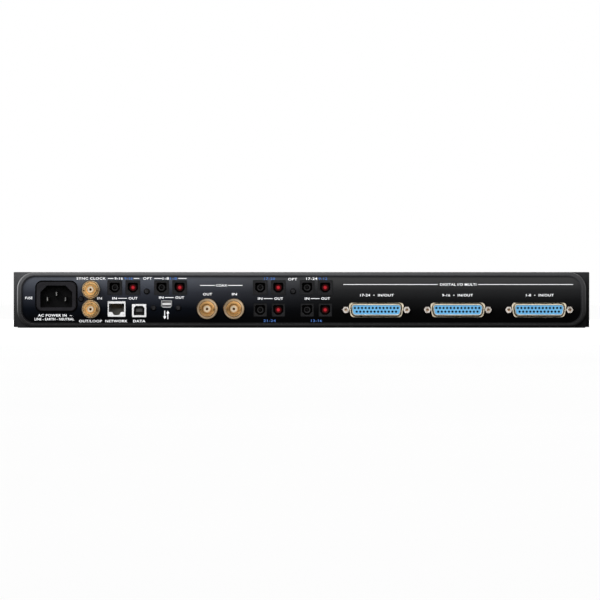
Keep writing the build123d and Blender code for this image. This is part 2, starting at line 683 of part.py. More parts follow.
def network_shell():
    """Folded shield around the network jack."""
    x, z = NETWORK
    width, height, depth, wall = 16.0, 13.6, 17.0, 0.4
    y_back = PANEL_IN - depth
    shell = along_y(Pos(x, z) * Rectangle(width, height), y_back, PANEL_IN)
    shell -= along_y(Pos(x, z) * Rectangle(width - 2 * wall, height - 2 * wall), y_back - 1, PANEL_IN - wall)
    return shell - along_y(network_mouth(), PANEL_IN - 1, PANEL_IN + 1)


def network_insert():
    """Plastic body of the network jack."""
    y_face, y_back = PANEL_IN - 0.45, PANEL_IN - 16.5
    body = along_y(Pos(*NETWORK) * Rectangle(15.1, 12.7), y_back, y_face)
    return body - along_y(network_mouth(), y_face - 12.5, y_face + 1)


def computer_mouth():
    """Opening of the square jack, upper corners cut."""
    half_w, half_h, cut = 4.1, 3.65, 1.6
    outline = Polyline(
        (-half_w, -half_h),
        (half_w, -half_h),
        (half_w, half_h - cut),
        (half_w - cut, half_h),
        (-half_w + cut, half_h),
        (-half_w, half_h - cut),
        close=True,
    )
    return Pos(*COMPUTER) * make_face(outline)


def computer_jack_shell():
    """Metal shield of the square jack."""
    body = along_y(rounded(*COMPUTER, 11.0, 10.1, 0.5), PANEL_Y - 16, PANEL_Y + 0.5)
    return body - along_y(computer_mouth(), PANEL_Y - 11, PANEL_Y + 2)


def computer_jack_tongue():
    """Contact tongue in the square jack."""
    x, z = COMPUTER
    tongue = block((x - 2.5, x + 2.5), (PANEL_Y - 11, PANEL_Y - 1.6), (z - 1.2, z + 1.5))
    return chamfer(tongue.faces().sort_by(Axis.Y)[-1].edges(), 0.3)


def link_profile(width, height, cut):
    """Outline of the small link jack, lower corners cut."""
    half_w, half_h = width / 2, height / 2
    outline = Polyline(
        (-half_w, half_h),
        (half_w, half_h),
        (half_w, -half_h + cut),
        (half_w - cut, -half_h),
        (-half_w + cut, -half_h),
        (-half_w, -half_h + cut),
        close=True,
    )
    return Pos(*LINK) * make_face(outline)


def link_jack_shell():
    """Drawn metal shield of the link jack."""
    body = along_y(link_profile(8.2, 5.5, 1.4), PANEL_Y - 9, PANEL_Y + 0.4)
    return body - along_y(link_profile(7.4, 4.7, 1.1), PANEL_Y - 7.5, PANEL_Y + 2)


def link_jack_tongue():
    """Contact tongue in the link jack."""
    x, z = LINK
    return block((x - 3.3, x + 3.3), (PANEL_Y - 7.5, PANEL_Y - 0.4), (z - 0.6, z + 0.8))


# ---------------------------------------------------------------- boards and power
def fixing_spots():
    """X and Y of the standoffs: five under the main board, then four under the power board."""
    main = [(-195, -35), (-30, -35), (160, -35), (-85, 45), (82, 45)]
    return main, [(181, -52), (210, -52), (181, 48), (210, 48)]


def board(x, y, top, spots):
    """A circuit board with holes at the spots."""
    plate = block(x, y, (top - BOARD_T, top))
    for spot in spots:
        plate -= Pos(*spot, top) * Cylinder(1.6, 6)
    return plate


def main_board():
    """Digital board that carries the lower row of connectors."""
    return board((-206, 172), (-42, PANEL_IN - 3.2), BOARD_Z, fixing_spots()[0])


def upper_board():
    """Small board that carries the upper optical row."""
    return block((-25, 153), (PANEL_IN - 26, PANEL_IN - 1), (UPPER_BOARD_Z - BOARD_T, UPPER_BOARD_Z))


def board_fixings():
    """Hexagonal standoffs, with the screws that hold the two lower boards."""
    hexagon = RegularPolygon(STANDOFF_FLATS / 2, 6, False)
    rise = UPPER_BOARD_Z - BOARD_T - BOARD_Z
    fixings = [Pos(x, y, BOARD_Z) * extrude(hexagon, rise) for x, y in UPPER_STANDOFFS]
    fixings += [along_y(Pos(x, z) * hexagon, CASE_FRONT, FRONT_BOARD_Y) for x, z in FRONT_STANDOFFS]
    under = BOARD_Z - BOARD_T
    for x, y in sum(fixing_spots(), []):
        post = Pos(x, y, SHEET) * extrude(hexagon, under - SHEET)
        post -= Pos(x, y, under) * Cylinder(1.35, 8)
        screw = Pos(x, y, BOARD_Z + 0.9) * Cylinder(2.7, 1.8)
        screw = fillet(screw.edges().group_by(Axis.Z)[-1], 0.7)
        fixings += [post, screw + Pos(x, y, BOARD_Z - 1.5) * Cylinder(1.25, 5)]
    return group(fixings)


def heat_sink():
    """Finned heat sink over the processor."""
    x, y, side, fins = 20.0, 10.0, 34.0, 9
    sink = block((x, x + side), (y, y + side), (BOARD_Z + 2.4, BOARD_Z + 5))
    pitch = (side - 1.2) / (fins - 1)
    for i in range(fins):
        sink += block((x + i * pitch, x + i * pitch + 1.2), (y, y + side), (BOARD_Z + 5, BOARD_Z + 16))
    return sink + block((x + 7, x + 27), (y + 7, y + 27), (BOARD_Z, BOARD_Z + 2.4))


def power_board():
    """Circuit board of the power supply."""
    return board((177, 214), (-57, 54), BOARD_Z, fixing_spots()[1])


def power_parts():
    """Transformer, heat spreader and capacitors of the power supply."""
    core = block((183, 209), (-18, 8), (BOARD_Z, BOARD_Z + 18))
    coil = Pos(196, -5, BOARD_Z + 9) * Rot(90, 0, 0) * Cylinder(11, 32)
    coil &= block((180, 212), (-25, 15), (BOARD_Z + 0.5, BOARD_Z + 20))
    spreader = block((180, 182.5), (14, 40), (BOARD_Z, BOARD_Z + 22))
    cans = [Pos(x, y, BOARD_Z + 12.5) * Cylinder(8, 25) for x, y in ((196, -38), (200, 32))]
    small = [Pos(188, y, BOARD_Z + 8) * Cylinder(3.2, 16) for y in (20, 28, 36)]
    return group([core + coil, spreader] + cans + small)


# ---------------------------------------------------------------- fan
def fan_disc(radius, x_from, x_to):
    """A disc on the fan's axis, which runs along X."""
    disc = Rot(0, 90, 0) * Cylinder(radius, x_to - x_from)
    return Pos((x_from + x_to) / 2, FAN_Y, MID_Z) * disc


def fan_frame():
    """Square frame with a bore, three struts and a bearing boss."""
    low, high = FAN_X - FAN_T / 2, FAN_X + FAN_T / 2
    half = FAN_SIDE / 2
    frame = block((low, high), (FAN_Y - half, FAN_Y + half), (MID_Z - half, MID_Z + half))
    frame -= fan_disc(FAN_BORE_R, low - 1, high + 1)
    for i in range(3):
        strut = Pos(0, 0, FAN_BORE_R / 2) * Box(1.6, 2.4, FAN_BORE_R + 1)
        frame += Pos(high - 0.8, FAN_Y, MID_Z) * Rot(30 + 120 * i, 0, 0) * strut
    frame += fan_disc(FAN_HUB_R, high - 1.6, high)
    return frame - fan_disc(1.05, high - 2, high + 1)


def fan_impeller():
    """Hub, pitched blades and the shaft that runs in the boss."""
    low, high = FAN_X - FAN_T / 2 + 0.6, FAN_X + FAN_T / 2 - 2.1
    impeller = fan_disc(FAN_HUB_R, low, high)
    for i in range(FAN_BLADES):
        blade = Rot(0, 0, 38) * Box(8.4, 0.9, FAN_TIP_R - FAN_HUB_R + 2)
        blade = Pos(0, 0, (FAN_HUB_R + FAN_TIP_R) / 2 - 0.5) * blade
        impeller += Pos((low + high) / 2, FAN_Y, MID_Z) * Rot(i * 360 / FAN_BLADES, 0, 0) * blade
    impeller &= fan_disc(FAN_TIP_R, low, high)
    return impeller + fan_disc(1.0, high, FAN_X + FAN_T / 2)


# ---------------------------------------------------------------- the assembly
def assembly():
    """Every part, by name."""
    inputs, outputs = optical_spots()
    jacks = jack_spots()
    parts = {
        "chassis_pan": chassis_pan(),
        "top_cover": top_cover(),
        "case_screws": case_screws(),
        "rear_panel": rear_panel(),
        "rear_bezel": rear_bezel(),
        "connector_screws": connector_screws(),
        "front_panel": front_panel(),
        "front_bezel": front_bezel(),
        "display_window": display_window(),
        "display_module": display_module(),
        "front_board": front_board(),
        "encoder_body": encoder_body(),
        "encoder_plunger": encoder_plunger(),
        "encoder_shaft": encoder_shaft(),
        "nav_knob": nav_knob(),
        "button_switches": button_switches(),
        "power_button": power_button(),
        "power_switch": power_switch(),
        "light_pipes": light_pipes(),
        "mains_inlet": mains_inlet(),
        "mains_pins": mains_pins(),
        "jack_insulators": group([jack_insulator(*spot) for spot, _ in jacks]),
        "jack_contacts": group([jack_contact(*spot) for spot, _ in jacks]),
        "jack_nuts": group([jack_nut(*spot, radius) for spot, radius in jacks]),
        "optical_detectors": group([optical_element(*spot) for spot in inputs]),
        "optical_emitters": group([optical_element(*spot) for spot in outputs]),
        "jackscrews": jackscrews(),
        "network_shell": network_shell(),
        "network_insert": network_insert(),
        "computer_jack_shell": computer_jack_shell(),
        "computer_jack_tongue": computer_jack_tongue(),
        "link_jack_shell": link_jack_shell(),
        "link_jack_tongue": link_jack_tongue(),
        "main_board": main_board(),
        "upper_board": upper_board(),
        "board_fixings": board_fixings(),
        "heat_sink": heat_sink(),
        "power_board": power_board(),
        "power_parts": power_parts(),
        "fan_frame": fan_frame(),
        "fan_impeller": fan_impeller(),
    }
    for name, spot in zip(("back", "select", "page"), button_spots()):
        parts[f"{name}_button"] = menu_button(*spot)
    for name, (spot, _) in zip(("clock_in", "clock_out", "coax_out", "coax_in"), jacks):
        parts[f"{name}_jack"] = coaxial_jack(*spot)
    for number, spot in enumerate(OPTICAL_PAIRS, 1):
        parts[f"optical_pair_{number}"] = optical_pair(*spot)
    for number, x in enumerate(MULTI_X, 1):
        parts[f"multi_io_shell_{number}"] = multi_io_shell(x)
        parts[f"multi_io_insert_{number}"] = multi_io_insert(x)
    return parts


os.makedirs("parts", exist_ok=True)
for name, shape in assembly().items():
    export_step(shape, f"parts/{name}.step")
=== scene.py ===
import math

import bmesh
import bpy
from mathutils import Matrix, Vector


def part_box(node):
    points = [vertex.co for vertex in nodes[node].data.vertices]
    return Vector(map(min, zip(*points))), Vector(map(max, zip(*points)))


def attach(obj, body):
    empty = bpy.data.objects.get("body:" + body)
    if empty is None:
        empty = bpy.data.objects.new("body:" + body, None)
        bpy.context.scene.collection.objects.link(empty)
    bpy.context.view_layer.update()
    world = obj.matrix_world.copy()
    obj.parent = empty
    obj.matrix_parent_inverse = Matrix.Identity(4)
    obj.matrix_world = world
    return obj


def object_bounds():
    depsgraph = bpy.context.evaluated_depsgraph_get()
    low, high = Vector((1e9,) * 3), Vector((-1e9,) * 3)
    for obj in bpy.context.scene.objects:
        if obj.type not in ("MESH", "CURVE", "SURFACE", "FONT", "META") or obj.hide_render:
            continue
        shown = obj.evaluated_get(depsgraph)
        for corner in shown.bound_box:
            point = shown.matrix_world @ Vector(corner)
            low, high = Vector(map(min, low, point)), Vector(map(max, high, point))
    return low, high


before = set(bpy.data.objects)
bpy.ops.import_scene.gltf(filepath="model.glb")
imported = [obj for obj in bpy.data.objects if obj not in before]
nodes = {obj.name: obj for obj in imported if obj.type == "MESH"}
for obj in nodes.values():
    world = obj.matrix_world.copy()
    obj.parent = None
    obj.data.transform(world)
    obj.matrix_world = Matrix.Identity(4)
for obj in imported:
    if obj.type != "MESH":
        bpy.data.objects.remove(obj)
cad_low, cad_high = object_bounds()

MM = 0.001
PANEL_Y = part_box("rear_panel")[1].y  # outer face of the connector panel
PLATE_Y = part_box("front_panel")[0].y  # outer face of the front plate
REAR_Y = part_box("rear_bezel")[1].y
MID_Z = (cad_low.z + cad_high.z) / 2

# connector sizes in mm, as in the CAD
SOCKET_PITCH = 2.76  # between sockets along a row of a 25-way connector
SOCKET_ROW = 1.42  # from the connector's middle to each row
SOCKET_BORE_R = 0.7
JACKSCREW_REACH = 23.52  # from the connector's middle to each jackscrew
JACKSCREW_BORE_R = 1.25
JACK_BARREL_R = 6.2
JACK_CONTACT_BORE_R = 0.69
OPTICAL_REACH = 5.6  # from each end of an optical pair to its element
OPTICAL_HOLE_R = 5.0
OPTICAL_SLEEVE_R = 1.59

BLACK = (0.0, 0.0, 0.0)


def middle_of(name):
    """X and Z of the middle of a node's box."""
    low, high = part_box(name)
    return (low.x + high.x) / 2, (low.z + high.z) / 2


# ---------------------------------------------------------------- shader helpers
class Shader:
    """A Principled material with short ways to wire its textures."""

    def __init__(self, name, colour, rough, metal=0.0, specular=0.5):
        self.material = bpy.data.materials.new(name)
        self.material.use_nodes = True
        self.tree = self.material.node_tree
        self.bsdf = self.tree.nodes["Principled BSDF"]
        self.bsdf.inputs["Base Color"].default_value = (*colour, 1)
        self.bsdf.inputs["Roughness"].default_value = rough
        self.bsdf.inputs["Metallic"].default_value = metal
        self.bsdf.inputs["Specular IOR Level"].default_value = specular
        self.normal = None

    def node(self, kind, **values):
        made = self.tree.nodes.new("ShaderNode" + kind)
        for key, value in values.items():
            if key in made.inputs:
                made.inputs[key].default_value = value
            else:
                setattr(made, key, value)
        return made

    def link(self, out, into):
        self.tree.links.new(out, into)

    def place(self, scale=1.0, stretch=(1, 1, 1)):
        """Object coordinates in millimetres, times scale."""
        mapping = self.node("Mapping")
        mapping.inputs["Scale"].default_value = [1000 * scale * s for s in stretch]
        self.link(self.node("TexCoord").outputs["Object"], mapping.inputs["Vector"])
        return mapping.outputs["Vector"]

    def noise(self, size_mm, detail=3.0, roughness=0.55, stretch=(1, 1, 1)):
        noise = self.node("TexNoise", Scale=1.0, Detail=detail, Roughness=roughness)
        self.link(self.place(1 / size_mm, stretch), noise.inputs["Vector"])
        return noise.outputs["Fac"]

    def spread(self, value, low, high, start=0.3, end=0.7):
        """Maps start..end onto low..high, clamped."""
        spread = self.node("MapRange")
        for key, number in (("From Min", start), ("From Max", end), ("To Min", low), ("To Max", high)):
            spread.inputs[key].default_value = number
        self.link(value, spread.inputs["Value"])
        return spread.outputs["Result"]

    def maths(self, operation, one, other):
        made = self.node("Math", operation=operation)
        for socket, value in zip(made.inputs, (one, other)):
            if isinstance(value, (int, float)):
                socket.default_value = value
            else:
                self.link(value, socket)
        return made.outputs[0]

    def mixed(self, factor, first, second):
        mix = self.node("Mix", data_type="RGBA")
        self.link(factor, mix.inputs[0])
        for socket, colour in ((mix.inputs[6], first), (mix.inputs[7], second)):
            if isinstance(colour, (tuple, list)):
                socket.default_value = (*colour[:3], 1)
            else:
                self.link(colour, socket)
        return mix.outputs[2]

    def colour(self, socket):
        self.link(socket, self.bsdf.inputs["Base Color"])

    def rough(self, size_mm, low, high, stretch=(1, 1, 1)):
        uneven = self.spread(self.noise(size_mm, stretch=stretch), low, high)
        self.link(uneven, self.bsdf.inputs["Roughness"])

    def soft_edges(self, radius_mm):
        bevel = self.node("Bevel", samples=4)
        bevel.inputs["Radius"].default_value = radius_mm * MM
        self.normal = bevel.outputs["Normal"]
        self.link(self.normal, self.bsdf.inputs["Normal"])

    def bump(self, height, depth_mm, strength=1.0):
        bump = self.node("Bump", Strength=strength, Distance=depth_mm * MM)
        self.link(height, bump.inputs["Height"])
        if self.normal is not None:
            self.link(self.normal, bump.inputs["Normal"])
        self.normal = bump.outputs["Normal"]
        self.link(self.normal, self.bsdf.inputs["Normal"])

    def height_in_node(self):
        """0 at the bottom of the object's own box and 1 at its top."""
        return self.split("Generated", "Z")

    def split(self, kind, axis):
        parts = self.node("SeparateXYZ")
        self.link(self.node("TexCoord").outputs[kind], parts.inputs[0])
        return parts.outputs[axis]


def ramp(shader, value, stops):
    """A colour ramp through (position, colour) stops."""
    made = shader.node("ValToRGB")
    while len(made.color_ramp.elements) < len(stops):
        made.color_ramp.elements.new(0.5)
    for element, (position, colour) in zip(made.color_ramp.elements, stops):
        element.position, element.color = position, (*colour, 1)
    shader.link(value, made.inputs[0])
    return made.outputs[0]


def moulded(name, dark, light, rough, depth_mm=0.02, edge_mm=0.2, specular=0.4):
    """Moulded plastic: fine spark grain, faint mottling and soft edges."""
    s = Shader(name, dark, rough, specular=specular)
    s.soft_edges(edge_mm)
    s.colour(s.mixed(s.spread(s.noise(6.0), 0, 1), dark, light))
    s.rough(2.5, rough - 0.07, rough + 0.07)
    s.bump(s.noise(0.5, detail=4), depth_mm, 0.5)
    return s.material


def plated(name, dark, light, rough, grain_mm=0.3, stretch=(1, 1, 1), edge_mm=0.12, depth_mm=0.004):
    """Plated or drawn metal: fine grain, uneven tint and soft edges."""
    s = Shader(name, light, rough, metal=1.0)
    s.soft_edges(edge_mm)
    s.colour(s.mixed(s.spread(s.noise(3.0), 0, 1), dark, light))
    s.rough(1.2, rough - 0.06, rough + 0.06, stretch)
    s.bump(s.noise(grain_mm, stretch=stretch), depth_mm, 0.6)
    return s.material


def turned(name, bands, rough, centre, highlight_side=0.0, thread=None):
    """Lathe-turned metal: fine rings round an axis along Y.

    bands gives the colour at each radius in mm. The number after centre paints a highlight: the metal
    is painted lighter towards +X, or -X if it is negative. thread is the start and end of a thread
    along Y, in metres, and its pitch in mm.
    """
    ring_mm = 0.35
    s = Shader(name, bands[0][1], rough, metal=1.0)
    s.soft_edges(0.1)
    place = s.node("TexCoord").outputs["Object"]
    shift = s.node("VectorMath", operation="SUBTRACT")
    shift.inputs[1].default_value = (centre[0], 0, centre[1])
    s.link(place, shift.inputs[0])
    flat = s.node("VectorMath", operation="MULTIPLY")
    flat.inputs[1].default_value = (1, 0, 1)
    s.link(shift.outputs[0], flat.inputs[0])
    length = s.node("VectorMath", operation="LENGTH")
    s.link(flat.outputs[0], length.inputs[0])
    radius = length.outputs["Value"]

    # the brushed highlights run round the axis
    around = s.node("VectorMath", operation="CROSS_PRODUCT")
    around.inputs[0].default_value = (0, 1, 0)
    s.link(flat.outputs[0], around.inputs[1])
    s.link(around.outputs[0], s.bsdf.inputs["Tangent"])
    s.bsdf.inputs["Anisotropic"].default_value = 0.75

    noise = s.node("TexNoise", noise_dimensions="1D", Scale=1.0, Detail=2.0)
    s.link(s.maths("MULTIPLY", radius, 1000 / ring_mm), noise.inputs["W"])
    rings = noise.outputs["Fac"]
    reach = bands[-1][0]
    stops = [(r / reach, colour) for r, colour in bands]
    banded = ramp(s, s.maths("MULTIPLY", radius, 1000 / reach), stops)
    unit = s.node("VectorMath", operation="NORMALIZE")
    s.link(flat.outputs[0], unit.inputs[0])
    side = s.node("SeparateXYZ")
    s.link(unit.outputs[0], side.inputs[0])
    # painted highlight: the metal is lighter on the side that the number after centre points to
    side_highlight = s.spread(s.maths("MULTIPLY", side.outputs["X"], highlight_side), 0.60, 1.0, -1, 0.8)
    toned = s.maths("MULTIPLY", s.spread(rings, 0.92, 1.0), side_highlight)
    s.colour(s.mixed(toned, BLACK, banded))
    s.link(s.spread(rings, rough - 0.03, rough + 0.06), s.bsdf.inputs["Roughness"])
    s.bump(rings, 0.003, 0.4)
    if thread:
        start, end, pitch = thread
        along = s.split("Object", "Y")
        wave = s.maths("SINE", s.maths("MULTIPLY", along, 2 * math.pi / (pitch * MM)), 0.0)
        after, before = s.maths("GREATER_THAN", along, start), s.maths("LESS_THAN", along, end)
        threaded = s.maths("MULTIPLY", wave, s.maths("MULTIPLY", after, before))
        outer = s.maths("GREATER_THAN", radius, JACK_BARREL_R * MM)
        s.bump(s.maths("MULTIPLY", threaded, outer), 0.12, 0.9)
    return s.material


def print_ink(name, colour, painted_glow):
    """Screen-printed ink, a little uneven, with a painted glow that keeps it bright in shade."""
    s = Shader(name, colour, 0.5, specular=0.3)
    # painted light: the ink glows faintly, though it is no lamp
    s.bsdf.inputs["Emission Color"].default_value = (*colour, 1)
    s.bsdf.inputs["Emission Strength"].default_value = painted_glow
    thin = tuple(0.86 * c for c in colour)
    s.colour(s.mixed(s.spread(s.noise(0.6), 0, 1), thin, colour))
    s.rough(0.8, 0.42, 0.6)
    return s.material


def edge_wear_and_highlight(shader, colour, amount, size_mm=1.5, edge_mm=0.6):
    """Shows colour where the surface turns sharply, broken up by noise."""
    bevel = shader.node("Bevel", samples=4)
    bevel.inputs["Radius"].default_value = edge_mm * MM
    dot = shader.node("VectorMath", operation="DOT_PRODUCT")
    shader.link(bevel.outputs["Normal"], dot.inputs[0])
    shader.link(shader.node("NewGeometry").outputs["True Normal"], dot.inputs[1])
    edge = shader.spread(dot.outputs["Value"], amount, 0.0, 0.80, 0.985)
    factor = shader.maths("MULTIPLY", edge, shader.spread(shader.noise(size_mm), 0.15, 1.0))
    base = shader.bsdf.inputs["Base Color"]
    before = base.links[0].from_socket if base.links else tuple(base.default_value)
    shader.colour(shader.mixed(factor, before, colour))


# ---------------------------------------------------------------- materials
def case_paint():
    """Black powder coat with an orange-peel texture."""
    s = Shader("case_powder_coat", (0.02, 0.021, 0.023), 0.5, specular=0.25)
    s.soft_edges(0.4)
    s.colour(s.mixed(s.spread(s.noise(14.0), 0, 1), (0.022, 0.0225, 0.024), (0.034, 0.035, 0.038)))
    s.rough(5.0, 0.42, 0.56)
    s.bump(s.noise(0.9, detail=5, roughness=0.6), 0.05, 0.55)
    edge_wear_and_highlight(s, (0.10, 0.10, 0.105), 0.5)
    return s.material


def panel_paint():
    """Satin black paint with painted light: blue-grey along its top edge and black along its bottom."""
    s = Shader("panel_satin_black", (0.02, 0.02, 0.02), 0.42, specular=0.02)
    s.soft_edges(0.12)
    height = s.height_in_node()
    # painted light: the paint is lighter towards the top, blue-grey at +X and plain grey at -X
    cool_painted_light = (
        (0.00, (0.0001, 0.0002, 0.0004)),
        (0.15, (0.0008, 0.0011, 0.0020)),
        (0.34, (0.0028, 0.0044, 0.0082)),
        (0.65, (0.038, 0.042, 0.056)),
        (0.86, (0.100, 0.110, 0.134)),
        (1.00, (0.140, 0.150, 0.176)),
    )
    plain_painted_light = (
        (0.00, (0.0001, 0.0001, 0.0001)),
        (0.15, (0.0001, 0.0001, 0.0001)),
        (0.30, (0.0014, 0.0014, 0.0016)),
        (0.50, (0.0090, 0.0092, 0.0100)),
        (0.69, (0.026, 0.0265, 0.028)),
        (0.90, (0.070, 0.070, 0.071)),
        (1.00, (0.096, 0.096, 0.097)),
    )
    # painted light: bluer towards the +X end
    tint = s.spread(s.split("Generated", "X"), 0, 1, 0.45, 0.75)
    both = s.mixed(tint, ramp(s, height, plain_painted_light), ramp(s, height, cool_painted_light))
    speck = s.spread(s.noise(0.35, detail=4), 0.84, 1.0)
    s.colour(s.mixed(speck, BLACK, both))
    s.rough(3.0, 0.38, 0.47)
    s.bump(s.noise(0.25, detail=3), 0.008, 0.4)
    return s.material


def plate_paint():
    """Satin black anodised aluminium, brushed along its length."""
    s = Shader("front_plate_black", (0.02, 0.021, 0.023), 0.42, specular=0.4)
    s.soft_edges(0.35)
    brushed = s.noise(0.5, detail=4, stretch=(0.03, 1, 1))
    s.colour(s.mixed(s.spread(brushed, 0, 1), (0.016, 0.017, 0.019), (0.034, 0.036, 0.039)))
    s.link(s.spread(brushed, 0.36, 0.5), s.bsdf.inputs["Roughness"])
    s.bump(brushed, 0.01, 0.5)
    edge_wear_and_highlight(s, (0.16, 0.165, 0.17), 0.6)
    return s.material


def graded_paint(name, shades, specular, edge_mm, mottle, roughness, fade=None, grain_mm=None):
    """Satin paint with painted light and shade that changes from the bottom of its node to the top.

    shades gives the colour at each height, from 0 to 1, with the painted light in it. mottle is the size,
    detail and darkest tone of its unevenness. roughness is the size, least and most. fade is the tone of
    the painted shade at the -X end and where, from 0 to 1 along X, it has gone.
    """
    s = Shader(name, shades[-1][1], roughness[1], specular=specular)
    s.soft_edges(edge_mm)
    size, detail, darkest = mottle
    tone = s.spread(s.noise(size, detail=detail), darkest, 1.0)
    if fade:
        tone = s.maths("MULTIPLY", s.spread(s.split("Generated", "X"), fade[0], 1.0, 0.0, fade[1]), tone)
    s.colour(s.mixed(tone, BLACK, ramp(s, s.height_in_node(), shades)))
    s.rough(*roughness)
    if grain_mm:
        s.bump(s.noise(grain_mm, detail=4), 0.012, 0.5)
    return s


def bezel_paint():
    """Dark grey satin moulding with painted light and shade: lighter at its top and at its left end
    seen from the connectors.
    """
    shades = (
        (0.00, (0.006, 0.006, 0.0062)),
        (0.15, (0.010, 0.010, 0.0105)),
        (0.50, (0.044, 0.0445, 0.047)),
        (0.90, (0.105, 0.106, 0.112)),
        (1.00, (0.132, 0.133, 0.139)),
    )
    s = graded_paint(
        "bezel_dark_grey", shades, 0.16, 0.3, (1.2, 4, 0.84), (2.0, 0.36, 0.48), (0.55, 0.6), 0.45
    )
    # light grey edges: edge wear that also paints a highlight along the frame's edges
    edge_wear_and_highlight(s, (0.55, 0.55, 0.56), 0.45, edge_mm=0.7)
    return s.material


def bezel_edge_paint():
    """The frame's rounded outer edge, with a painted highlight: light grey, dimmer towards its bottom
    and towards -X.
    """
    shades = (
        (0.00, (0.012, 0.012, 0.012)),
        (0.20, (0.05, 0.05, 0.052)),
        (0.50, (0.33, 0.33, 0.34)),
        (0.80, (0.44, 0.44, 0.45)),
        (1.00, (0.16, 0.16, 0.16)),
    )
    return graded_paint(
        "bezel_edge_painted_highlight", shades, 0.3, 0.2, (0.9, 3, 0.8), (1.5, 0.3, 0.42), (0.35, 0.9)
    ).material


def corner_paint():
    """The plates that show behind the rear frame's corners: dark grey, with painted shade that darkens
    them downwards and towards -X.
    """
    shades = (
        (0.00, (0.024, 0.024, 0.0255)),
        (0.12, (0.028, 0.0285, 0.030)),
        (0.50, (0.060, 0.0605, 0.064)),
        (0.93, (0.098, 0.100, 0.105)),
        (1.00, (0.108, 0.110, 0.115)),
    )
    return graded_paint(
        "corner_dark_grey", shades, 0.05, 0.3, (1.2, 4, 0.86), (2.0, 0.38, 0.5), (0.36, 1.0), 0.5
    ).material


def groove_paint():
    """The frame's inner slope, with painted shade: darker towards the bottom of the frame."""
    shades = (
        (0.00, (0.010, 0.010, 0.0102)),
        (0.50, (0.030, 0.030, 0.033)),
        (0.90, (0.080, 0.081, 0.087)),
        (1.00, (0.110, 0.111, 0.118)),
    )
    return graded_paint(
        "bezel_groove_grey", shades, 0.05, 0.2, (1.0, 3, 0.8), (1.5, 0.42, 0.58), grain_mm=0.45
    ).material


def smoked_glass():
    """Tinted acrylic, very slightly wavy."""
    s = Shader("window_smoked", (0.10, 0.12, 0.14), 0.04, specular=0.5)
    s.bsdf.inputs["Transmission Weight"].default_value = 1.0
    s.bsdf.inputs["IOR"].default_value = 1.49
    s.rough(9.0, 0.02, 0.07)
    s.bump(s.noise(25.0, detail=1), 0.01, 0.06)
    return s.material


def circuit_board():
    """Green solder mask with copper traces under it."""
    s = Shader("circuit_board_green", (0.01, 0.07, 0.03), 0.3, specular=0.5)
    bricks = s.node("TexBrick", Scale=1.0)
    bricks.inputs["Mortar Size"].default_value = 0.08
    bricks.inputs["Color1"].default_value = (1, 1, 1, 1)
    bricks.inputs["Color2"].default_value = (0.6, 0.6, 0.6, 1)
    bricks.inputs["Mortar"].default_value = (0, 0, 0, 1)
    s.link(s.place(0.25), bricks.inputs["Vector"])
    covered = s.spread(bricks.outputs["Color"], 0, 1, 0, 1)
    s.colour(s.mixed(covered, (0.02, 0.13, 0.05), (0.008, 0.06, 0.025)))
    s.rough(4.0, 0.22, 0.36)
    s.bump(bricks.outputs["Color"], 0.03, 0.4)
    return s.material


def glowing(name, colour, strength):
    """Plastic that glows, lit from behind; on the optical sleeves the glow is painted light."""
    s = Shader(name, tuple(0.15 * c for c in colour), 0.25, specular=0.08)
    s.bsdf.inputs["Emission Color"].default_value = (*colour, 1)
    s.bsdf.inputs["Emission Strength"].default_value = strength
    s.rough(0.5, 0.15, 0.35)
    return s.material


JACKS = {
    name: middle_of(name) for name in ("clock_in_jack", "clock_out_jack", "coax_out_jack", "coax_in_jack")
}

# the plating's colour at each radius in mm: the bore, the barrel's lip and the collar under it.
# The coax jacks' dark bands in the bore are painted shade, and the bright bands on the lips a
# painted highlight.
CLOCK_GOLD = (
    (2.3, (0.72, 0.42, 0.16)),
    (3.9, (0.70, 0.38, 0.13)),
    (4.2, (1.0, 0.69, 0.31)),
    (4.7, (1.0, 0.69, 0.31)),
    (5.0, (0.58, 0.33, 0.13)),
    (6.4, (0.58, 0.35, 0.15)),
)
COAX_GOLD = (
    (2.3, (1.0, 0.72, 0.42)),
    (2.8, (0.70, 0.43, 0.19)),
    (3.3, (0.29, 0.135, 0.035)),
    (3.9, (0.35, 0.17, 0.05)),
    (4.3, (0.90, 0.53, 0.20)),
    (4.7, (0.90, 0.53, 0.20)),
    (5.0, (0.58, 0.32, 0.12)),
    (6.4, (0.78, 0.48, 0.22)),
)
CLOCK_NUT = (
    (6.3, (0.70, 0.54, 0.34)),
    (9.0, (0.78, 0.62, 0.40)),
)
COAX_NUT = (
    (6.3, (0.50, 0.36, 0.22)),
    (7.0, (0.37, 0.27, 0.168)),
    (8.0, (0.62, 0.47, 0.31)),
)
THREAD = (PANEL_Y + 2.6 * MM, PANEL_Y + 4.4 * MM, 0.8)
jack_metals, nut_metals = {}, {}
for name, centre in JACKS.items():
    is_clock = name.startswith("clock")
    # painted highlight on one side: +X for the clock jacks, -X for the coax jacks and every nut
    gold, nut, highlight_side = (CLOCK_GOLD, CLOCK_NUT, 0.7) if is_clock else (COAX_GOLD, COAX_NUT, -1.0)
    jack_metals[name] = turned(name + "_gold", gold, 0.2, centre, highlight_side, thread=THREAD)
    nut_metals[name] = turned(name + "_nut", nut, 0.26, centre, -1.0)

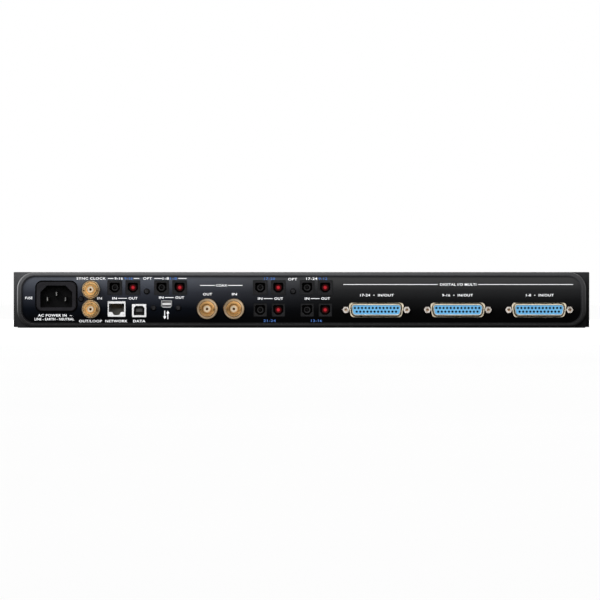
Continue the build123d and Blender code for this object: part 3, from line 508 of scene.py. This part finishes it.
INK_WHITE = print_ink("ink_white", (0.92, 0.93, 0.95), 0.55)
INK_BLUE = print_ink("ink_blue", (0.08, 0.23, 0.70), 0.05)
CASE = case_paint()
PANEL = panel_paint()
PLATE = plate_paint()
BEZEL = bezel_paint()
BEZEL_EDGE = bezel_edge_paint()
CORNER = corner_paint()
BEZEL_GROOVE = groove_paint()
BLACK_MOULDING = moulded("black_moulding", (0.010, 0.010, 0.010), (0.018, 0.018, 0.018), 0.42, specular=0.3)
KEYS = moulded("key_moulding", (0.05, 0.05, 0.053), (0.075, 0.075, 0.08), 0.5, edge_mm=0.3)
FAN = moulded("fan_moulding", (0.01, 0.01, 0.011), (0.02, 0.02, 0.021), 0.4)
# near-black rubber: the gasket's own black and partly painted shade round the inlet
RUBBER = moulded("gasket_rubber", (0.0008, 0.0008, 0.0008), (0.0015, 0.0015, 0.0015), 0.7, specular=0.03)

# painted shade: what lies inside an opening is given a near-black colour that reflects little, so that
# it stays black
DEEP_BLACK = moulded("socket_black", (0.0008, 0.0008, 0.001), (0.002, 0.002, 0.002), 0.5, specular=0.01)
INSERT_HOLE = moulded("socket_navy", (0.0004, 0.002, 0.006), (0.001, 0.004, 0.012), 0.5, specular=0.01)
OPTICAL = moulded(
    "optical_moulding", (0.007, 0.007, 0.008), (0.013, 0.013, 0.015), 0.36, edge_mm=0.3, specular=0.14
)
OPTICAL_HOLE = moulded(
    "optical_hole_black", (0.0006, 0.0006, 0.0007), (0.002, 0.002, 0.002), 0.3, specular=0.02
)
LENS_DARK = moulded("lens_dark", (0.0006, 0.0005, 0.0006), (0.002, 0.0015, 0.002), 0.15, specular=0.06)
SLEEVE_DARK = moulded("sleeve_dark", (0.016, 0.016, 0.018), (0.028, 0.028, 0.03), 0.3, specular=0.2)
INLET = moulded(
    "inlet_moulding", (0.011, 0.0105, 0.013), (0.017, 0.016, 0.020), 0.46, edge_mm=0.5, specular=0.12
)
INLET_BORE = moulded("inlet_bore_black", (0.001, 0.001, 0.0012), (0.003, 0.003, 0.0036), 0.4, specular=0.06)

NETWORK_PLASTIC = moulded("network_plastic", (0.09, 0.088, 0.074), (0.13, 0.125, 0.11), 0.45, specular=0.2)
BLUE = moulded("insert_sky_blue", (0.14, 0.52, 0.96), (0.18, 0.60, 1.0), 0.42, depth_mm=0.012)
TONGUE_PALE = moulded("tongue_pale", (0.92, 0.92, 0.92), (0.97, 0.97, 0.97), 0.4)
TONGUE_DARK = moulded("tongue_dark", (0.06, 0.06, 0.06), (0.10, 0.10, 0.10), 0.4, specular=0.1)
CREAM = moulded("insulator_cream", (1.0, 0.83, 0.60), (1.0, 0.88, 0.67), 0.3, depth_mm=0.003)
LIGHT_PIPE = moulded("light_pipe", (0.10, 0.13, 0.11), (0.16, 0.19, 0.16), 0.25, specular=0.6)

SCREW = plated("screw_black_oxide", (0.012, 0.012, 0.013), (0.03, 0.03, 0.032), 0.38)
ZINC = plated("zinc_bright", (0.50, 0.46, 0.40), (0.78, 0.74, 0.66), 0.3)
ALUMINIUM = plated("aluminium_satin", (0.42, 0.43, 0.45), (0.66, 0.67, 0.69), 0.32)
JACKSCREW = plated("jackscrew_nickel", (0.30, 0.27, 0.24), (0.62, 0.57, 0.52), 0.24)
# painted shade: the jackscrews' tapped bores are a darker, browner metal than the screws
SCREW_BORE = plated("jackscrew_bore", (0.34, 0.23, 0.14), (0.50, 0.36, 0.24), 0.4)
SHELL = plated("shell_gold_zinc", (0.56, 0.48, 0.34), (0.78, 0.70, 0.56), 0.3, edge_mm=0.25)
SHIELD = plated(
    "shield_tin", (0.62, 0.62, 0.63), (0.72, 0.72, 0.72), 0.3, grain_mm=0.6, edge_mm=0.15, depth_mm=0.001
)
# painted shade: the inside of the link jack's shell is a darker grey
SHIELD_INSIDE = plated("shield_inside", (0.22, 0.22, 0.23), (0.32, 0.32, 0.33), 0.4)
LINK_SHIELD = plated("link_shield_grey", (0.40, 0.40, 0.41), (0.52, 0.52, 0.53), 0.34, depth_mm=0.001)
CONTACT = plated("contact_gold", (0.62, 0.38, 0.12), (0.95, 0.68, 0.30), 0.2)
# painted shade: the jacks' centre contacts are a darker gold than the other contacts
JACK_CONTACT = plated("jack_contact_gold_painted_shade", (0.30, 0.14, 0.03), (0.50, 0.27, 0.08), 0.25)
# painted shade: the inlet's pins are a dark grey, far darker than bare nickel
PIN = plated("pin_nickel", (0.10, 0.10, 0.10), (0.22, 0.22, 0.21), 0.3, stretch=(1, 0.1, 1))

LENS_RED = glowing("lens_red", (0.95, 0.035, 0.055), 0.42)
LENS_RIM = glowing("lens_red_rim", (0.75, 0.010, 0.018), 0.16)
# painted light: the emitters' sleeves glow faintly red, for the red elements' light on them
SLEEVE_RED = glowing("sleeve_painted_red_glow", (0.30, 0.004, 0.008), 0.04)

knob_grey = (0.24, 0.245, 0.255)
KNOB_METAL = turned("knob_turned", ((0.0, knob_grey), (12.0, knob_grey)), 0.3, middle_of("nav_knob"))
BOARD = circuit_board()

finishes = {
    "chassis_pan": CASE,
    "top_cover": CASE,
    "case_screws": SCREW,
    "rear_panel": PANEL,
    "connector_screws": SCREW,
    "display_window": smoked_glass(),
    "display_module": BLACK_MOULDING,
    "front_board": BOARD,
    "main_board": BOARD,
    "upper_board": BOARD,
    "power_board": BOARD,
    "encoder_body": ZINC,
    "encoder_plunger": ZINC,
    "encoder_shaft": ZINC,
    "nav_knob": KNOB_METAL,
    "back_button": KEYS,
    "select_button": KEYS,
    "page_button": KEYS,
    "power_button": KEYS,
    "power_switch": BLACK_MOULDING,
    "button_switches": BLACK_MOULDING,
    "light_pipes": LIGHT_PIPE,
    "mains_pins": PIN,
    "jack_insulators": CREAM,
    "multi_io_shell_1": SHELL,
    "multi_io_shell_2": SHELL,
    "multi_io_shell_3": SHELL,
    "network_shell": SHIELD,
    "network_insert": NETWORK_PLASTIC,
    "computer_jack_tongue": TONGUE_DARK,
    "link_jack_tongue": TONGUE_PALE,
    "board_fixings": ZINC,
    "heat_sink": ALUMINIUM,
    "power_parts": BLACK_MOULDING,
    "fan_frame": FAN,
    "fan_impeller": FAN,
    **jack_metals,
}


# ---------------------------------------------------------------- a material for each face
def paint(name, materials, choose=lambda centre, normal: 0):
    """Gives the node its materials, and each face the one whose number choose(centre, normal) says."""
    mesh = nodes[name].data
    mesh.materials.clear()
    for material in materials:
        mesh.materials.append(material)
    for face in mesh.polygons:
        face.material_index = choose(face.center, face.normal)


def off_axis(point, axes):
    """Distance in mm from the nearest of the axes along Y."""
    return min(math.hypot(point.x - x, point.z - z) for x, z in axes) / MM


def paint_bores(name, face, bore, axes, radius, skin=0.05, deep=1000.0):
    """Paints the walls and floors of round holes, from skin to deep mm under the node's front face,
    with bore as painted shade.
    """
    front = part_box(name)[1].y
    paint(
        name,
        [face, bore],
        lambda centre, normal: int(
            front - deep * MM < centre.y < front - skin * MM and off_axis(centre, axes) < radius
        ),
    )


def paint_mouth(name, face, mouth, half_width, half_height, skin=0.1):
    """Paints what lies inside a rectangle round the node's middle, more than skin mm under its front,
    with mouth as painted shade.
    """
    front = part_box(name)[1].y
    mid_x, mid_z = middle_of(name)
    paint(
        name,
        [face, mouth],
        lambda centre, normal: int(
            centre.y < front - skin * MM
            and abs(centre.x - mid_x) < half_width * MM
            and abs(centre.z - mid_z) < half_height * MM
        ),
    )


def paint_jacks():
    names = list(JACKS)

    def nut(centre, normal):
        return names.index(min(names, key=lambda name: off_axis(centre, [JACKS[name]])))

    paint("jack_nuts", [nut_metals[name] for name in names], nut)
    paint_bores("jack_contacts", JACK_CONTACT, DEEP_BLACK, JACKS.values(), JACK_CONTACT_BORE_R)


def paint_multi_io():
    """The 25-way connectors' sockets and their jackscrews' tapped bores. Returns the sockets' axes."""
    every_socket, bores = [], []
    for number in range(1, 4):
        x, z = middle_of(f"multi_io_shell_{number}")
        pitch, row = SOCKET_PITCH * MM, SOCKET_ROW * MM
        sockets = [(x + (i - 6) * pitch, z + row) for i in range(13)]
        sockets += [(x + (i - 5.5) * pitch, z - row) for i in range(12)]
        insert = f"multi_io_insert_{number}"
        paint_bores(insert, BLUE, INSERT_HOLE, sockets, SOCKET_BORE_R, skin=0.02, deep=4.6)
        every_socket += sockets
        bores += [(x - JACKSCREW_REACH * MM, z), (x + JACKSCREW_REACH * MM, z)]
    paint_bores("jackscrews", JACKSCREW, SCREW_BORE, bores, JACKSCREW_BORE_R)
    return every_socket


def paint_optical():
    """The holes painted blacker than the faces as painted shade, and the elements with their sleeves."""
    pairs = [f"optical_pair_{number}" for number in range(1, 7)]
    axes = []
    for pair in pairs:
        low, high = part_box(pair)
        middle = (low.z + high.z) / 2
        axes += [(high.x - OPTICAL_REACH * MM, middle), (low.x + OPTICAL_REACH * MM, middle)]
    for pair in pairs:
        paint_bores(pair, OPTICAL, OPTICAL_HOLE, axes, OPTICAL_HOLE_R, skin=0.1, deep=11.1)

    def detector(centre, normal):
        return int(off_axis(centre, axes) > OPTICAL_SLEEVE_R)

    def emitter(centre, normal):
        if off_axis(centre, axes) > OPTICAL_SLEEVE_R:
            return 2
        return 0 if normal.y > 0.9 else 1

    paint("optical_detectors", [LENS_DARK, SLEEVE_DARK], detector)
    paint("optical_emitters", [LENS_RED, LENS_RIM, SLEEVE_RED], emitter)


def paint_frame(name, outward):
    """A frame's face, rounded outer edge and inner slope, and at the rear the plate behind it.

    outward is 1 for the frame whose face looks along +Y and -1 for the other.
    """
    low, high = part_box(name)
    face_y = high.y if outward > 0 else low.y
    plate_depth, edge_depth, groove_depth = 7.4 * MM, 1.15 * MM, 4 * MM
    straight_x = 200 * MM  # from the middle to where the ends' roundings start
    squarely, edgewise = 0.97, 0.05  # how far a facet's normal points outward on the face and on the sides

    def part(centre, normal):
        depth = (face_y - centre.y) * outward
        if outward > 0 and depth > plate_depth:
            return 3
        past_x = abs(centre.x) > straight_x
        away = normal.x * math.copysign(1, centre.x) * past_x + normal.z * math.copysign(1, centre.z - MID_Z)
        tilt = normal.y * outward
        if depth < edge_depth and edgewise < tilt < squarely and away > 0:
            return 1
        if depth < groove_depth and tilt < squarely and away < 0:
            return 2
        return 0

    paint(name, [BEZEL, BEZEL_EDGE, BEZEL_GROOVE, CORNER], part)


for name, finish in finishes.items():
    paint(name, [finish])
paint_jacks()
socket_axes = paint_multi_io()
paint_optical()
# painted shade inside the mains inlet and the two data jacks
paint_mouth("mains_inlet", INLET, INLET_BORE, 12.5, 8.6, skin=0.4)
paint_mouth("computer_jack_shell", SHIELD, BLACK_MOULDING, 4.4, 4.1)
paint_mouth("link_jack_shell", LINK_SHIELD, SHIELD_INSIDE, 3.75, 2.4)
# the back of the front plate shows behind the rear frame
paint("front_panel", [PLATE, CORNER], lambda centre, normal: int(normal.y > 0.9))
paint_frame("rear_bezel", 1)
paint_frame("front_bezel", -1)


# ---------------------------------------------------------------- mesh helpers
def from_bmesh(name, bm, material, body="enclosure", smooth=False):
    """A piece that rides on body, with the given material as its finish."""
    mesh = bpy.data.meshes.new(name)
    bm.normal_update()
    bm.to_mesh(mesh)
    bm.free()
    if smooth:
        for face in mesh.polygons:
            face.use_smooth = True
    mesh.materials.append(material)
    thing = bpy.data.objects.new(name, mesh)
    bpy.context.scene.collection.objects.link(thing)
    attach(thing, body)


def outline(width, height, radius, steps=8):
    """Points of a rounded rectangle centred on the origin, anticlockwise."""
    points = []
    for i, (sx, sz) in enumerate(((1, 1), (-1, 1), (-1, -1), (1, -1))):
        cx, cz = sx * (width / 2 - radius), sz * (height / 2 - radius)
        for k in range(steps + 1):
            angle = math.pi / 2 * (i + k / steps)
            points.append((cx + radius * math.cos(angle), cz + radius * math.sin(angle)))
    return points


def ring_between(bm, loops):
    """Quads between successive closed loops of points."""
    made = [[bm.verts.new(p) for p in loop] for loop in loops]
    count = len(made[0])
    for one, other in zip(made, made[1:]):
        for i in range(count):
            j = (i + 1) % count
            bm.faces.new((one[i], one[j], other[j], other[i]))
    return made


def add_bar(bm, x0, x1, z0, z1, y, thick):
    """A flat printed bar on a face that looks along +Y (thick > 0) or -Y (thick < 0)."""
    xs, zs = sorted((x0, x1)), sorted((z0, z1))
    corners = [(xs[0], zs[0]), (xs[1], zs[0]), (xs[1], zs[1]), (xs[0], zs[1])]
    back = [bm.verts.new((x, y, z)) for x, z in corners]
    front = [bm.verts.new((x, y + thick, z)) for x, z in corners]
    bm.faces.new(front[::-1] if thick > 0 else front)
    for i in range(4):
        one, other = (i, (i + 1) % 4) if thick > 0 else ((i + 1) % 4, i)
        bm.faces.new((back[one], back[other], front[other], front[one]))


def tube(bm, points, radius, sides=8):
    """A round wire through the points."""
    loops = []
    for i, point in enumerate(points):
        before, after = points[max(i - 1, 0)], points[min(i + 1, len(points) - 1)]
        along = (Vector(after) - Vector(before)).normalized()
        side = along.cross(Vector((1, 0, 0)))
        side = side.normalized() if side.length > 1e-6 else Vector((0, 0, 1))
        other = along.cross(side)
        angles = [2 * math.pi * k / sides for k in range(sides)]
        loops.append([Vector(point) + radius * (math.cos(a) * side + math.sin(a) * other) for a in angles])
    made = ring_between(bm, loops)
    bm.faces.new(made[0][::-1])
    bm.faces.new(made[-1])


# ---------------------------------------------------------------- printed legends
def type_shape(text, bold):
    """The mesh of a line of type, one unit high, centred on its own box."""
    curve = bpy.data.curves.new("type", "FONT")
    curve.body = text
    curve.align_x, curve.align_y = "CENTER", "CENTER"
    curve.offset = bold
    curve.space_character = 1.08
    curve.resolution_u = 3
    thing = bpy.data.objects.new("type", curve)
    bpy.context.scene.collection.objects.link(thing)
    bpy.context.view_layer.update()
    depsgraph = bpy.context.evaluated_depsgraph_get()
    mesh = bpy.data.meshes.new_from_object(thing.evaluated_get(depsgraph))
    bpy.data.objects.remove(thing)
    bpy.data.curves.remove(curve)
    return mesh


def cap_height():
    mesh = type_shape("H", 0.0)
    heights = [v.co.y for v in mesh.vertices]
    tall = max(heights) - min(heights)
    bpy.data.meshes.remove(mesh)
    return tall


CAP = cap_height()
RULE_WIDTH = 0.45
INK_HEIGHT = 0.03


class Legend:
    """Everything printed in one ink on one face."""

    def __init__(self, y, faces_back):
        self.bm = bmesh.new()
        self.y, self.back = y, faces_back
        self.lift = (INK_HEIGHT if faces_back else -INK_HEIGHT) * MM

    def turn(self):
        """From the type's own plane to the face."""
        across = Vector((-1, 0, 0)) if self.back else Vector((1, 0, 0))
        up = Vector((0, 0, 1))
        out = across.cross(up)
        return Matrix((across, up, out)).transposed().to_4x4()

    def text(self, words, x, z, cap=1.8, wide=1.2, bold=0.012, width=None):
        """Type centred on (x, z), all in mm. width sets its whole length."""
        mesh = type_shape(words, bold)
        xs = [v.co.x for v in mesh.vertices]
        ys = [v.co.y for v in mesh.vertices]
        scale = cap / CAP
        stretch = scale * wide if width is None else width / (max(xs) - min(xs))
        middle = Vector(((max(xs) + min(xs)) / 2, (max(ys) + min(ys)) / 2, 0))
        size = Matrix.Diagonal((stretch * MM, scale * MM, 1, 1))
        place = Matrix.Translation((x * MM, self.y + self.lift, z * MM)) @ self.turn() @ size
        mesh.transform(place @ Matrix.Translation(-middle))
        self.bm.from_mesh(mesh)
        bpy.data.meshes.remove(mesh)

    def line(self, x0, x1, z):
        half = RULE_WIDTH / 2
        add_bar(self.bm, x0 * MM, x1 * MM, (z - half) * MM, (z + half) * MM, self.y, self.lift)

    def polygon(self, points):
        """A filled shape given by (x, z) points in mm."""
        self.bm.faces.new([self.bm.verts.new((x * MM, self.y + self.lift, z * MM)) for x, z in points])

    def arrow(self, x, z, length, up):
        """An arrow up or down whose middle is at (x, z)."""
        way = 1 if up else -1
        head_half, shaft_half = 1.15, 0.28
        tip, base = z + way * length / 2, z - way * length / 2
        neck = tip - way * 2.2
        self.polygon([(x, tip), (x + head_half, neck), (x - head_half, neck)])
        self.polygon(
            [(x - shaft_half, neck), (x + shaft_half, neck), (x + shaft_half, base), (x - shaft_half, base)]
        )

    def done(self, name, material, body="enclosure", slot="insulator_cream"):
        return from_bmesh(name, self.bm, material, body)


def rear_legends():
    """Generic words, numbers and rules on the connector panel."""
    white, blue = Legend(PANEL_Y, True), Legend(PANEL_Y, True)
    # words, X, Z, width
    words = (
        ("AC POWER IN  ~", 190.6, 9.6, 26.4),
        ("LINE - EARTH - NEUTRAL", 191.2, 6.7, 30.4),
        ("FUSE", 210.9, 23.1, 5.6),
        ("SYNC CLOCK", 162.7, 38.2, 22.6),
        ("IN", 156.2, 22.8, 3.6),
        ("OUT/LOOP", 163.2, 5.2, 17.8),
        ("9-16", 141.4, 38.2, 6.4),
        ("OPT", 119.1, 38.2, 6.9),
        ("1-8", 105.0, 38.2, 4.8),
        ("NETWORK", 143.2, 5.2, 17.0),
        ("DATA", 125.5, 5.2, 9.4),
        ("COAX", 61.9, 32.8, 8.5),
        ("OUT", 72.7, 26.0, 7.0),
        ("IN", 51.9, 26.0, 3.8),
        ("OPT", 6.9, 37.6, 7.0),
        ("17-24", -7.9, 38.0, 8.6),
        ("DIGITAL I/O MULTI", -121.1, 33.5, 28.0),
        ("17-24  •  IN/OUT", -58.3, 25.2, 26.0),
        ("9-16  •  IN/OUT", -120.6, 25.2, 23.8),
        ("1-8  •  IN/OUT", -184.3, 25.2, 21.4),
    )
    for text, x, z, width in words:
        white.text(text, x, z, width=width)
    numbers = (
        ("9-16", 133.8, 38.2, 6.4),
        ("1-8", 99.0, 38.2, 5.4),
        ("17-20", 24.7, 38.0, 8.4),
        ("9-12", -16.5, 38.0, 6.7),
        ("21-24", 24.7, 5.5, 9.4),
        ("13-16", -11.6, 5.5, 8.4),
    )
    for text, x, z, width in numbers:
        blue.text(text, x, z, width=width)
    for x, z in ((144.6, 22.8), (108.5, 23.4), (32.0, 22.6), (-4.3, 22.6)):
        white.text("IN", x, z, width=3.5)
        white.line(x - 2.8, x - 9.6, z)
        white.text("OUT", x - 14.3, z, width=6.8)
    # X of each rule's ends, Z
    rules = (
        (149.8, 145.5, 38.2),
        (129.8, 125.4, 38.2),
        (113.9, 108.0, 38.2),
        (95.3, 88.9, 38.2),
        (78.5, 67.1, 32.8),
        (56.8, 45.7, 32.8),
        (-32.3, -105.2, 33.5),
        (-136.6, -210.0, 33.5),
    )
    for rule in rules:
        white.line(*rule)
    white.arrow(103.4, 10.0, 6.6, True)
    white.arrow(105.8, 10.0, 6.6, False)
    white.done("legend_white", INK_WHITE)
    blue.done("legend_blue", INK_BLUE, slot="insert_blue")


def front_legends():
    """Generic words and numbers on the front plate."""
    ink = Legend(PLATE_Y, False)
    for words, button in (("BACK", "back_button"), ("SELECT", "select_button"), ("PAGE", "page_button")):
        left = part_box(button)[0].x / MM
        ink.text(words, left - 4.6, middle_of(button)[1] / MM, cap=1.2, wide=1.1)
    low, high = (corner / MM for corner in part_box("light_pipes"))
    half_light = 2.45
    step = (high.x - low.x - 2 * half_light) / 5
    for i in range(6):
        ink.text(str(i + 1), low.x + half_light + i * step, high.z + 3.4, cap=1.6)
    ink.text("IN", low.x - 6.0, high.z - 1.0, cap=1.5)
    ink.text("OUT", low.x - 6.0, low.z + 1.0, cap=1.5)
    ink.done("legend_front", INK_WHITE)


def power_mark():
    """The common power sign, a ring with a gap and a bar, on the power key."""
    mark = Legend(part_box("power_button")[0].y, False)
    cx, cz = (value / MM for value in middle_of("power_button"))
    inner, outer, steps = 1.5, 1.95, 40
    gap = math.radians(35)
    turn = (2 * math.pi - 2 * gap) / steps
    for i in range(steps):
        a0 = math.pi / 2 + gap + turn * i
        a1 = a0 + turn
        corners = ((inner, a0), (outer, a0), (outer, a1), (inner, a1))
        mark.polygon([(cx + r * math.cos(a), cz + r * math.sin(a)) for r, a in corners])
    half, bottom, top = 0.22, cz + 0.5, cz + 2.2
    mark.polygon([(cx - half, bottom), (cx + half, bottom), (cx + half, top), (cx - half, top)])
    mark.done("power_mark", INK_WHITE, "power_key")


# ---------------------------------------------------------------- small pieces
def inlet_gasket():
    """Thin rubber gasket that shows round the inlet's flange; its near-black is partly painted shade."""
    low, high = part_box("mains_inlet")
    cx, cz = middle_of("mains_inlet")
    width, height = high.x - low.x, high.z - low.z
    flange_radius = 4.5 * MM
    bm = bmesh.new()
    loops = []
    for grow, y in ((1.0, 0.0), (1.0, 0.3), (0.85, 0.45), (0.02, 0.45)):
        points = outline(width + 2 * grow * MM, height + 2 * grow * MM, flange_radius + grow * MM)
        loops.append([(cx + x, PANEL_Y + y * MM, cz + z) for x, z in points])
    ring_between(bm, loops)
    bmesh.ops.recalc_face_normals(bm, faces=bm.faces)
    from_bmesh("inlet_gasket", bm, RUBBER)


def socket_shade_rings():
    """Painted shade: a dark ring laid round each socket of the 25-way connectors."""
    bm = bmesh.new()
    face_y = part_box("multi_io_insert_1")[1].y
    steps = 16
    angles = [2 * math.pi * k / steps for k in range(steps)]
    for x, z in socket_axes:
        loops = []
        for radius, lift in ((0.67 * MM, 0.01 * MM), (0.86 * MM, 0.02 * MM), (0.88 * MM, 0.0)):
            y = face_y + lift
            loops.append([(x + radius * math.cos(a), y, z + radius * math.sin(a)) for a in angles])
        ring_between(bm, loops)
    bmesh.ops.recalc_face_normals(bm, faces=bm.faces)
    from_bmesh("socket_shade_rings", bm, INSERT_HOLE)


def network_contacts():
    """Eight sprung gold wires in the network jack."""
    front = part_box("network_insert")[1].y
    cx, cz = middle_of("network_insert")
    # each wire's Y under the front and Z from the middle, in mm
    points = (
        (-3.4, 3.15), (-4.0, 3.05), (-6.0, 2.2), (-8.0, 1.3), (-9.6, 0.75), (-10.4, 0.9), (-10.9, 1.5)
    )
    pitch, wire_radius = 1.02, 0.2
    bm = bmesh.new()
    for i in range(8):
        x = cx + (i - 3.5) * pitch * MM
        tube(bm, [(x, front + y * MM, cz + z * MM) for y, z in points], wire_radius * MM)
    bmesh.ops.recalc_face_normals(bm, faces=bm.faces)
    from_bmesh("network_contacts", bm, CONTACT, smooth=True)


def blades(name, node, spots, width, nose, lift):
    """Flat contacts on a tongue, each with a turned-down nose.

    spots gives each blade's X from the tongue's middle, and whether it is on top. nose is how far it
    stops short of the tongue's front. All in mm.
    """
    low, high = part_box(node)
    cx = (low.x + high.x) / 2
    y_from, y_to = low.y + 1 * MM, high.y - nose * MM
    profile = (
        (y_from, 0.0),
        (y_from, lift * MM),
        (y_to - 0.5 * MM, lift * MM),
        (y_to - 0.15 * MM, lift * MM * 0.6),
        (y_to, 0.0),
    )
    bm = bmesh.new()
    for x, above in spots:
        z, way = (high.z, 1) if above else (low.z, -1)
        sides = []
        for edge in (x - width / 2, x + width / 2):
            sides.append([bm.verts.new((cx + edge * MM, y, z + way * dz)) for y, dz in profile])
        for a, b, c, d in zip(sides[0], sides[0][1:], sides[1][1:], sides[1]):
            bm.faces.new((a, b, c, d))
        bm.faces.new(sides[0][::-1])
        bm.faces.new(sides[1])
    bmesh.ops.recalc_face_normals(bm, faces=bm.faces)
    from_bmesh(name, bm, CONTACT)


def data_contacts():
    """Four contacts in the square data jack, and twenty in the link jack."""
    spots = [(x, above) for x in (-1.25, 1.25) for above in (True, False)]
    blades("data_contacts", "computer_jack_tongue", spots, 1.1, 0.7, 0.12)
    spots = [((i - 4.5) * 0.45, above) for i in range(10) for above in (True, False)]
    blades("link_contacts", "link_jack_tongue", spots, 0.24, 0.5, 0.06)


def screen():
    """Level bars on the display, lit, with numbers under them."""
    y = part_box("display_module")[0].y + 1.0 * MM  # the glass, under the module's rim
    lit, dim, numbers = bmesh.new(), bmesh.new(), Legend(y, False)
    bars, segments = 24, 9
    span, first_z, rise = 172 * MM, -5.2 * MM, 1.55 * MM
    half_w, half_h, proud = 2.4 * MM, 0.55 * MM, -0.05 * MM
    for i in range(bars):
        x = -span / 2 + i * span / (bars - 1)
        # two waves out of step make an uneven run of levels, from 3 to 9 segments
        level = 3 + int(3.2 * (1 + math.sin(1.7 * i) * math.cos(0.6 * i + 1)))
        for k in range(segments):
            z = MID_Z + first_z + k * rise
            add_bar(lit if k < level else dim, x - half_w, x + half_w, z - half_h, z + half_h, y, proud)
        if i % 2 == 0:
            numbers.text(str(i + 1), x / MM, MID_Z / MM - 8.4, cap=1.5, wide=1.0)
    from_bmesh("screen_lit", lit, glowing("screen_light", (0.25, 0.65, 1.0), 2.2))
    from_bmesh("screen_dim", dim, glowing("screen_unlit", (0.02, 0.05, 0.08), 0.5))
    numbers.done("screen_numbers", glowing("screen_text", (0.6, 0.8, 1.0), 2.0), slot="light_clear")


rear_legends()
front_legends()
power_mark()
inlet_gasket()
socket_shade_rings()
network_contacts()
data_contacts()
screen()


# ---------------------------------------------------------------- floor, light and camera
FLOOR_GLOW = 0.65  # a bright sweep behind the object


def floor():
    """Pale floor, a little below the case's base."""
    reach, depth = 30.0, -0.0002
    bm = bmesh.new()
    corners = ((-reach, -reach), (reach, -reach), (reach, reach), (-reach, reach))
    bm.faces.new([bm.verts.new((x, y, depth)) for x, y in corners])
    mesh = bpy.data.meshes.new("floor")
    bm.to_mesh(mesh)
    bm.free()
    s = Shader("floor_pale", (0.86, 0.86, 0.86), 0.8, specular=0.0)
    s.colour(s.mixed(s.spread(s.noise(400.0), 0, 1), (0.85, 0.85, 0.85), (0.88, 0.88, 0.88)))
    # seen directly it is a bright sweep, but it throws little light back up
    s.bsdf.inputs["Emission Color"].default_value = (1, 1, 1, 1)
    s.bsdf.inputs["Emission Strength"].default_value = FLOOR_GLOW
    dull = s.node("BsdfDiffuse", Color=(0.16, 0.16, 0.16, 1))
    choose = s.node("MixShader")
    s.link(s.node("LightPath").outputs["Is Camera Ray"], choose.inputs[0])
    s.link(dull.outputs[0], choose.inputs[1])
    s.link(s.bsdf.outputs[0], choose.inputs[2])
    s.link(choose.outputs[0], s.tree.nodes["Material Output"].inputs["Surface"])
    mesh.materials.append(s.material)
    thing = bpy.data.objects.new("floor", mesh)
    bpy.context.scene.collection.objects.link(thing)


def area_light(name, place, target, size, power):
    data = bpy.data.lights.new(name, "AREA")
    data.shape = "RECTANGLE"
    data.size, data.size_y = size
    data.energy = power
    thing = bpy.data.objects.new(name, data)
    bpy.context.scene.collection.objects.link(thing)
    thing.location = place
    thing.rotation_mode = "QUATERNION"
    thing.rotation_quaternion = (Vector(target) - Vector(place)).to_track_quat("-Z", "Y")
    thing.visible_camera = False


def sun(name, toward, strength, spread_deg):
    """A soft sun that shines from the direction toward."""
    data = bpy.data.lights.new(name, "SUN")
    data.energy = strength
    data.angle = math.radians(spread_deg)
    thing = bpy.data.objects.new(name, data)
    bpy.context.scene.collection.objects.link(thing)
    thing.rotation_mode = "QUATERNION"
    thing.rotation_quaternion = (-Vector(toward)).to_track_quat("-Z", "Y")


def studio():
    """White surroundings, brighter overhead, with soft boxes before both sides of the case."""
    world = bpy.data.worlds.new("studio")
    bpy.context.scene.world = world
    world.use_nodes = True
    tree = world.node_tree
    tree.nodes.clear()

    def node(kind):
        return tree.nodes.new("ShaderNode" + kind)

    parts = node("SeparateXYZ")
    tree.links.new(node("TexCoord").outputs["Generated"], parts.inputs[0])
    up = node("MapRange")
    for key, number in (("From Min", 0.05), ("From Max", 0.9), ("To Min", 0.10), ("To Max", 0.42)):
        up.inputs[key].default_value = number
    tree.links.new(parts.outputs["Z"], up.inputs["Value"])
    around = node("Background")
    tree.links.new(up.outputs["Result"], around.inputs["Strength"])
    seen = node("Background")
    seen.inputs["Color"].default_value = (1, 1, 1, 1)
    seen.inputs["Strength"].default_value = 1.0
    mix, path, out = node("MixShader"), node("LightPath"), node("OutputWorld")
    tree.links.new(path.outputs["Is Camera Ray"], mix.inputs[0])
    tree.links.new(around.outputs[0], mix.inputs[1])
    tree.links.new(seen.outputs[0], mix.inputs[2])
    tree.links.new(mix.outputs[0], out.inputs[0])

    sun("sun_key", (0.35, 1.0, 0.42), 1.0, 35)
    area_light("softbox_left", (0.9, 0.75, 0.40), (0.15, 0.08, 0.02), (0.5, 0.7), 3.2)
    area_light("softbox_front", (0.05, 2.3, 0.35), (0, 0.08, 0.02), (1.9, 1.1), 13.0)
    area_light("softbox_controls", (-0.4, -1.9, 1.1), (0, -0.09, 0.02), (1.8, 0.9), 20.0)
    area_light("strip_over_panel", (0, REAR_Y + 0.085, 0.13), (0, PANEL_Y, 0.02), (0.5, 0.03), 0.05)


def camera():
    """Long lens, square on to the connector side and level with the case's middle."""
    distance, view_width, sensor = 6.25, 0.4638, 36.0
    data = bpy.data.cameras.new("camera")
    data.sensor_width = sensor
    data.lens = sensor * distance / view_width
    data.clip_start, data.clip_end = 0.1, 100.0
    thing = bpy.data.objects.new("camera", data)
    bpy.context.scene.collection.objects.link(thing)
    thing.location = (0.0012, REAR_Y + distance, 0.0215)
    thing.rotation_mode = "QUATERNION"
    thing.rotation_quaternion = Vector((0, -1, 0)).to_track_quat("-Z", "Y")
    bpy.context.scene.camera = thing


floor()
studio()
camera()
bpy.context.scene.view_settings.view_transform = "Standard"
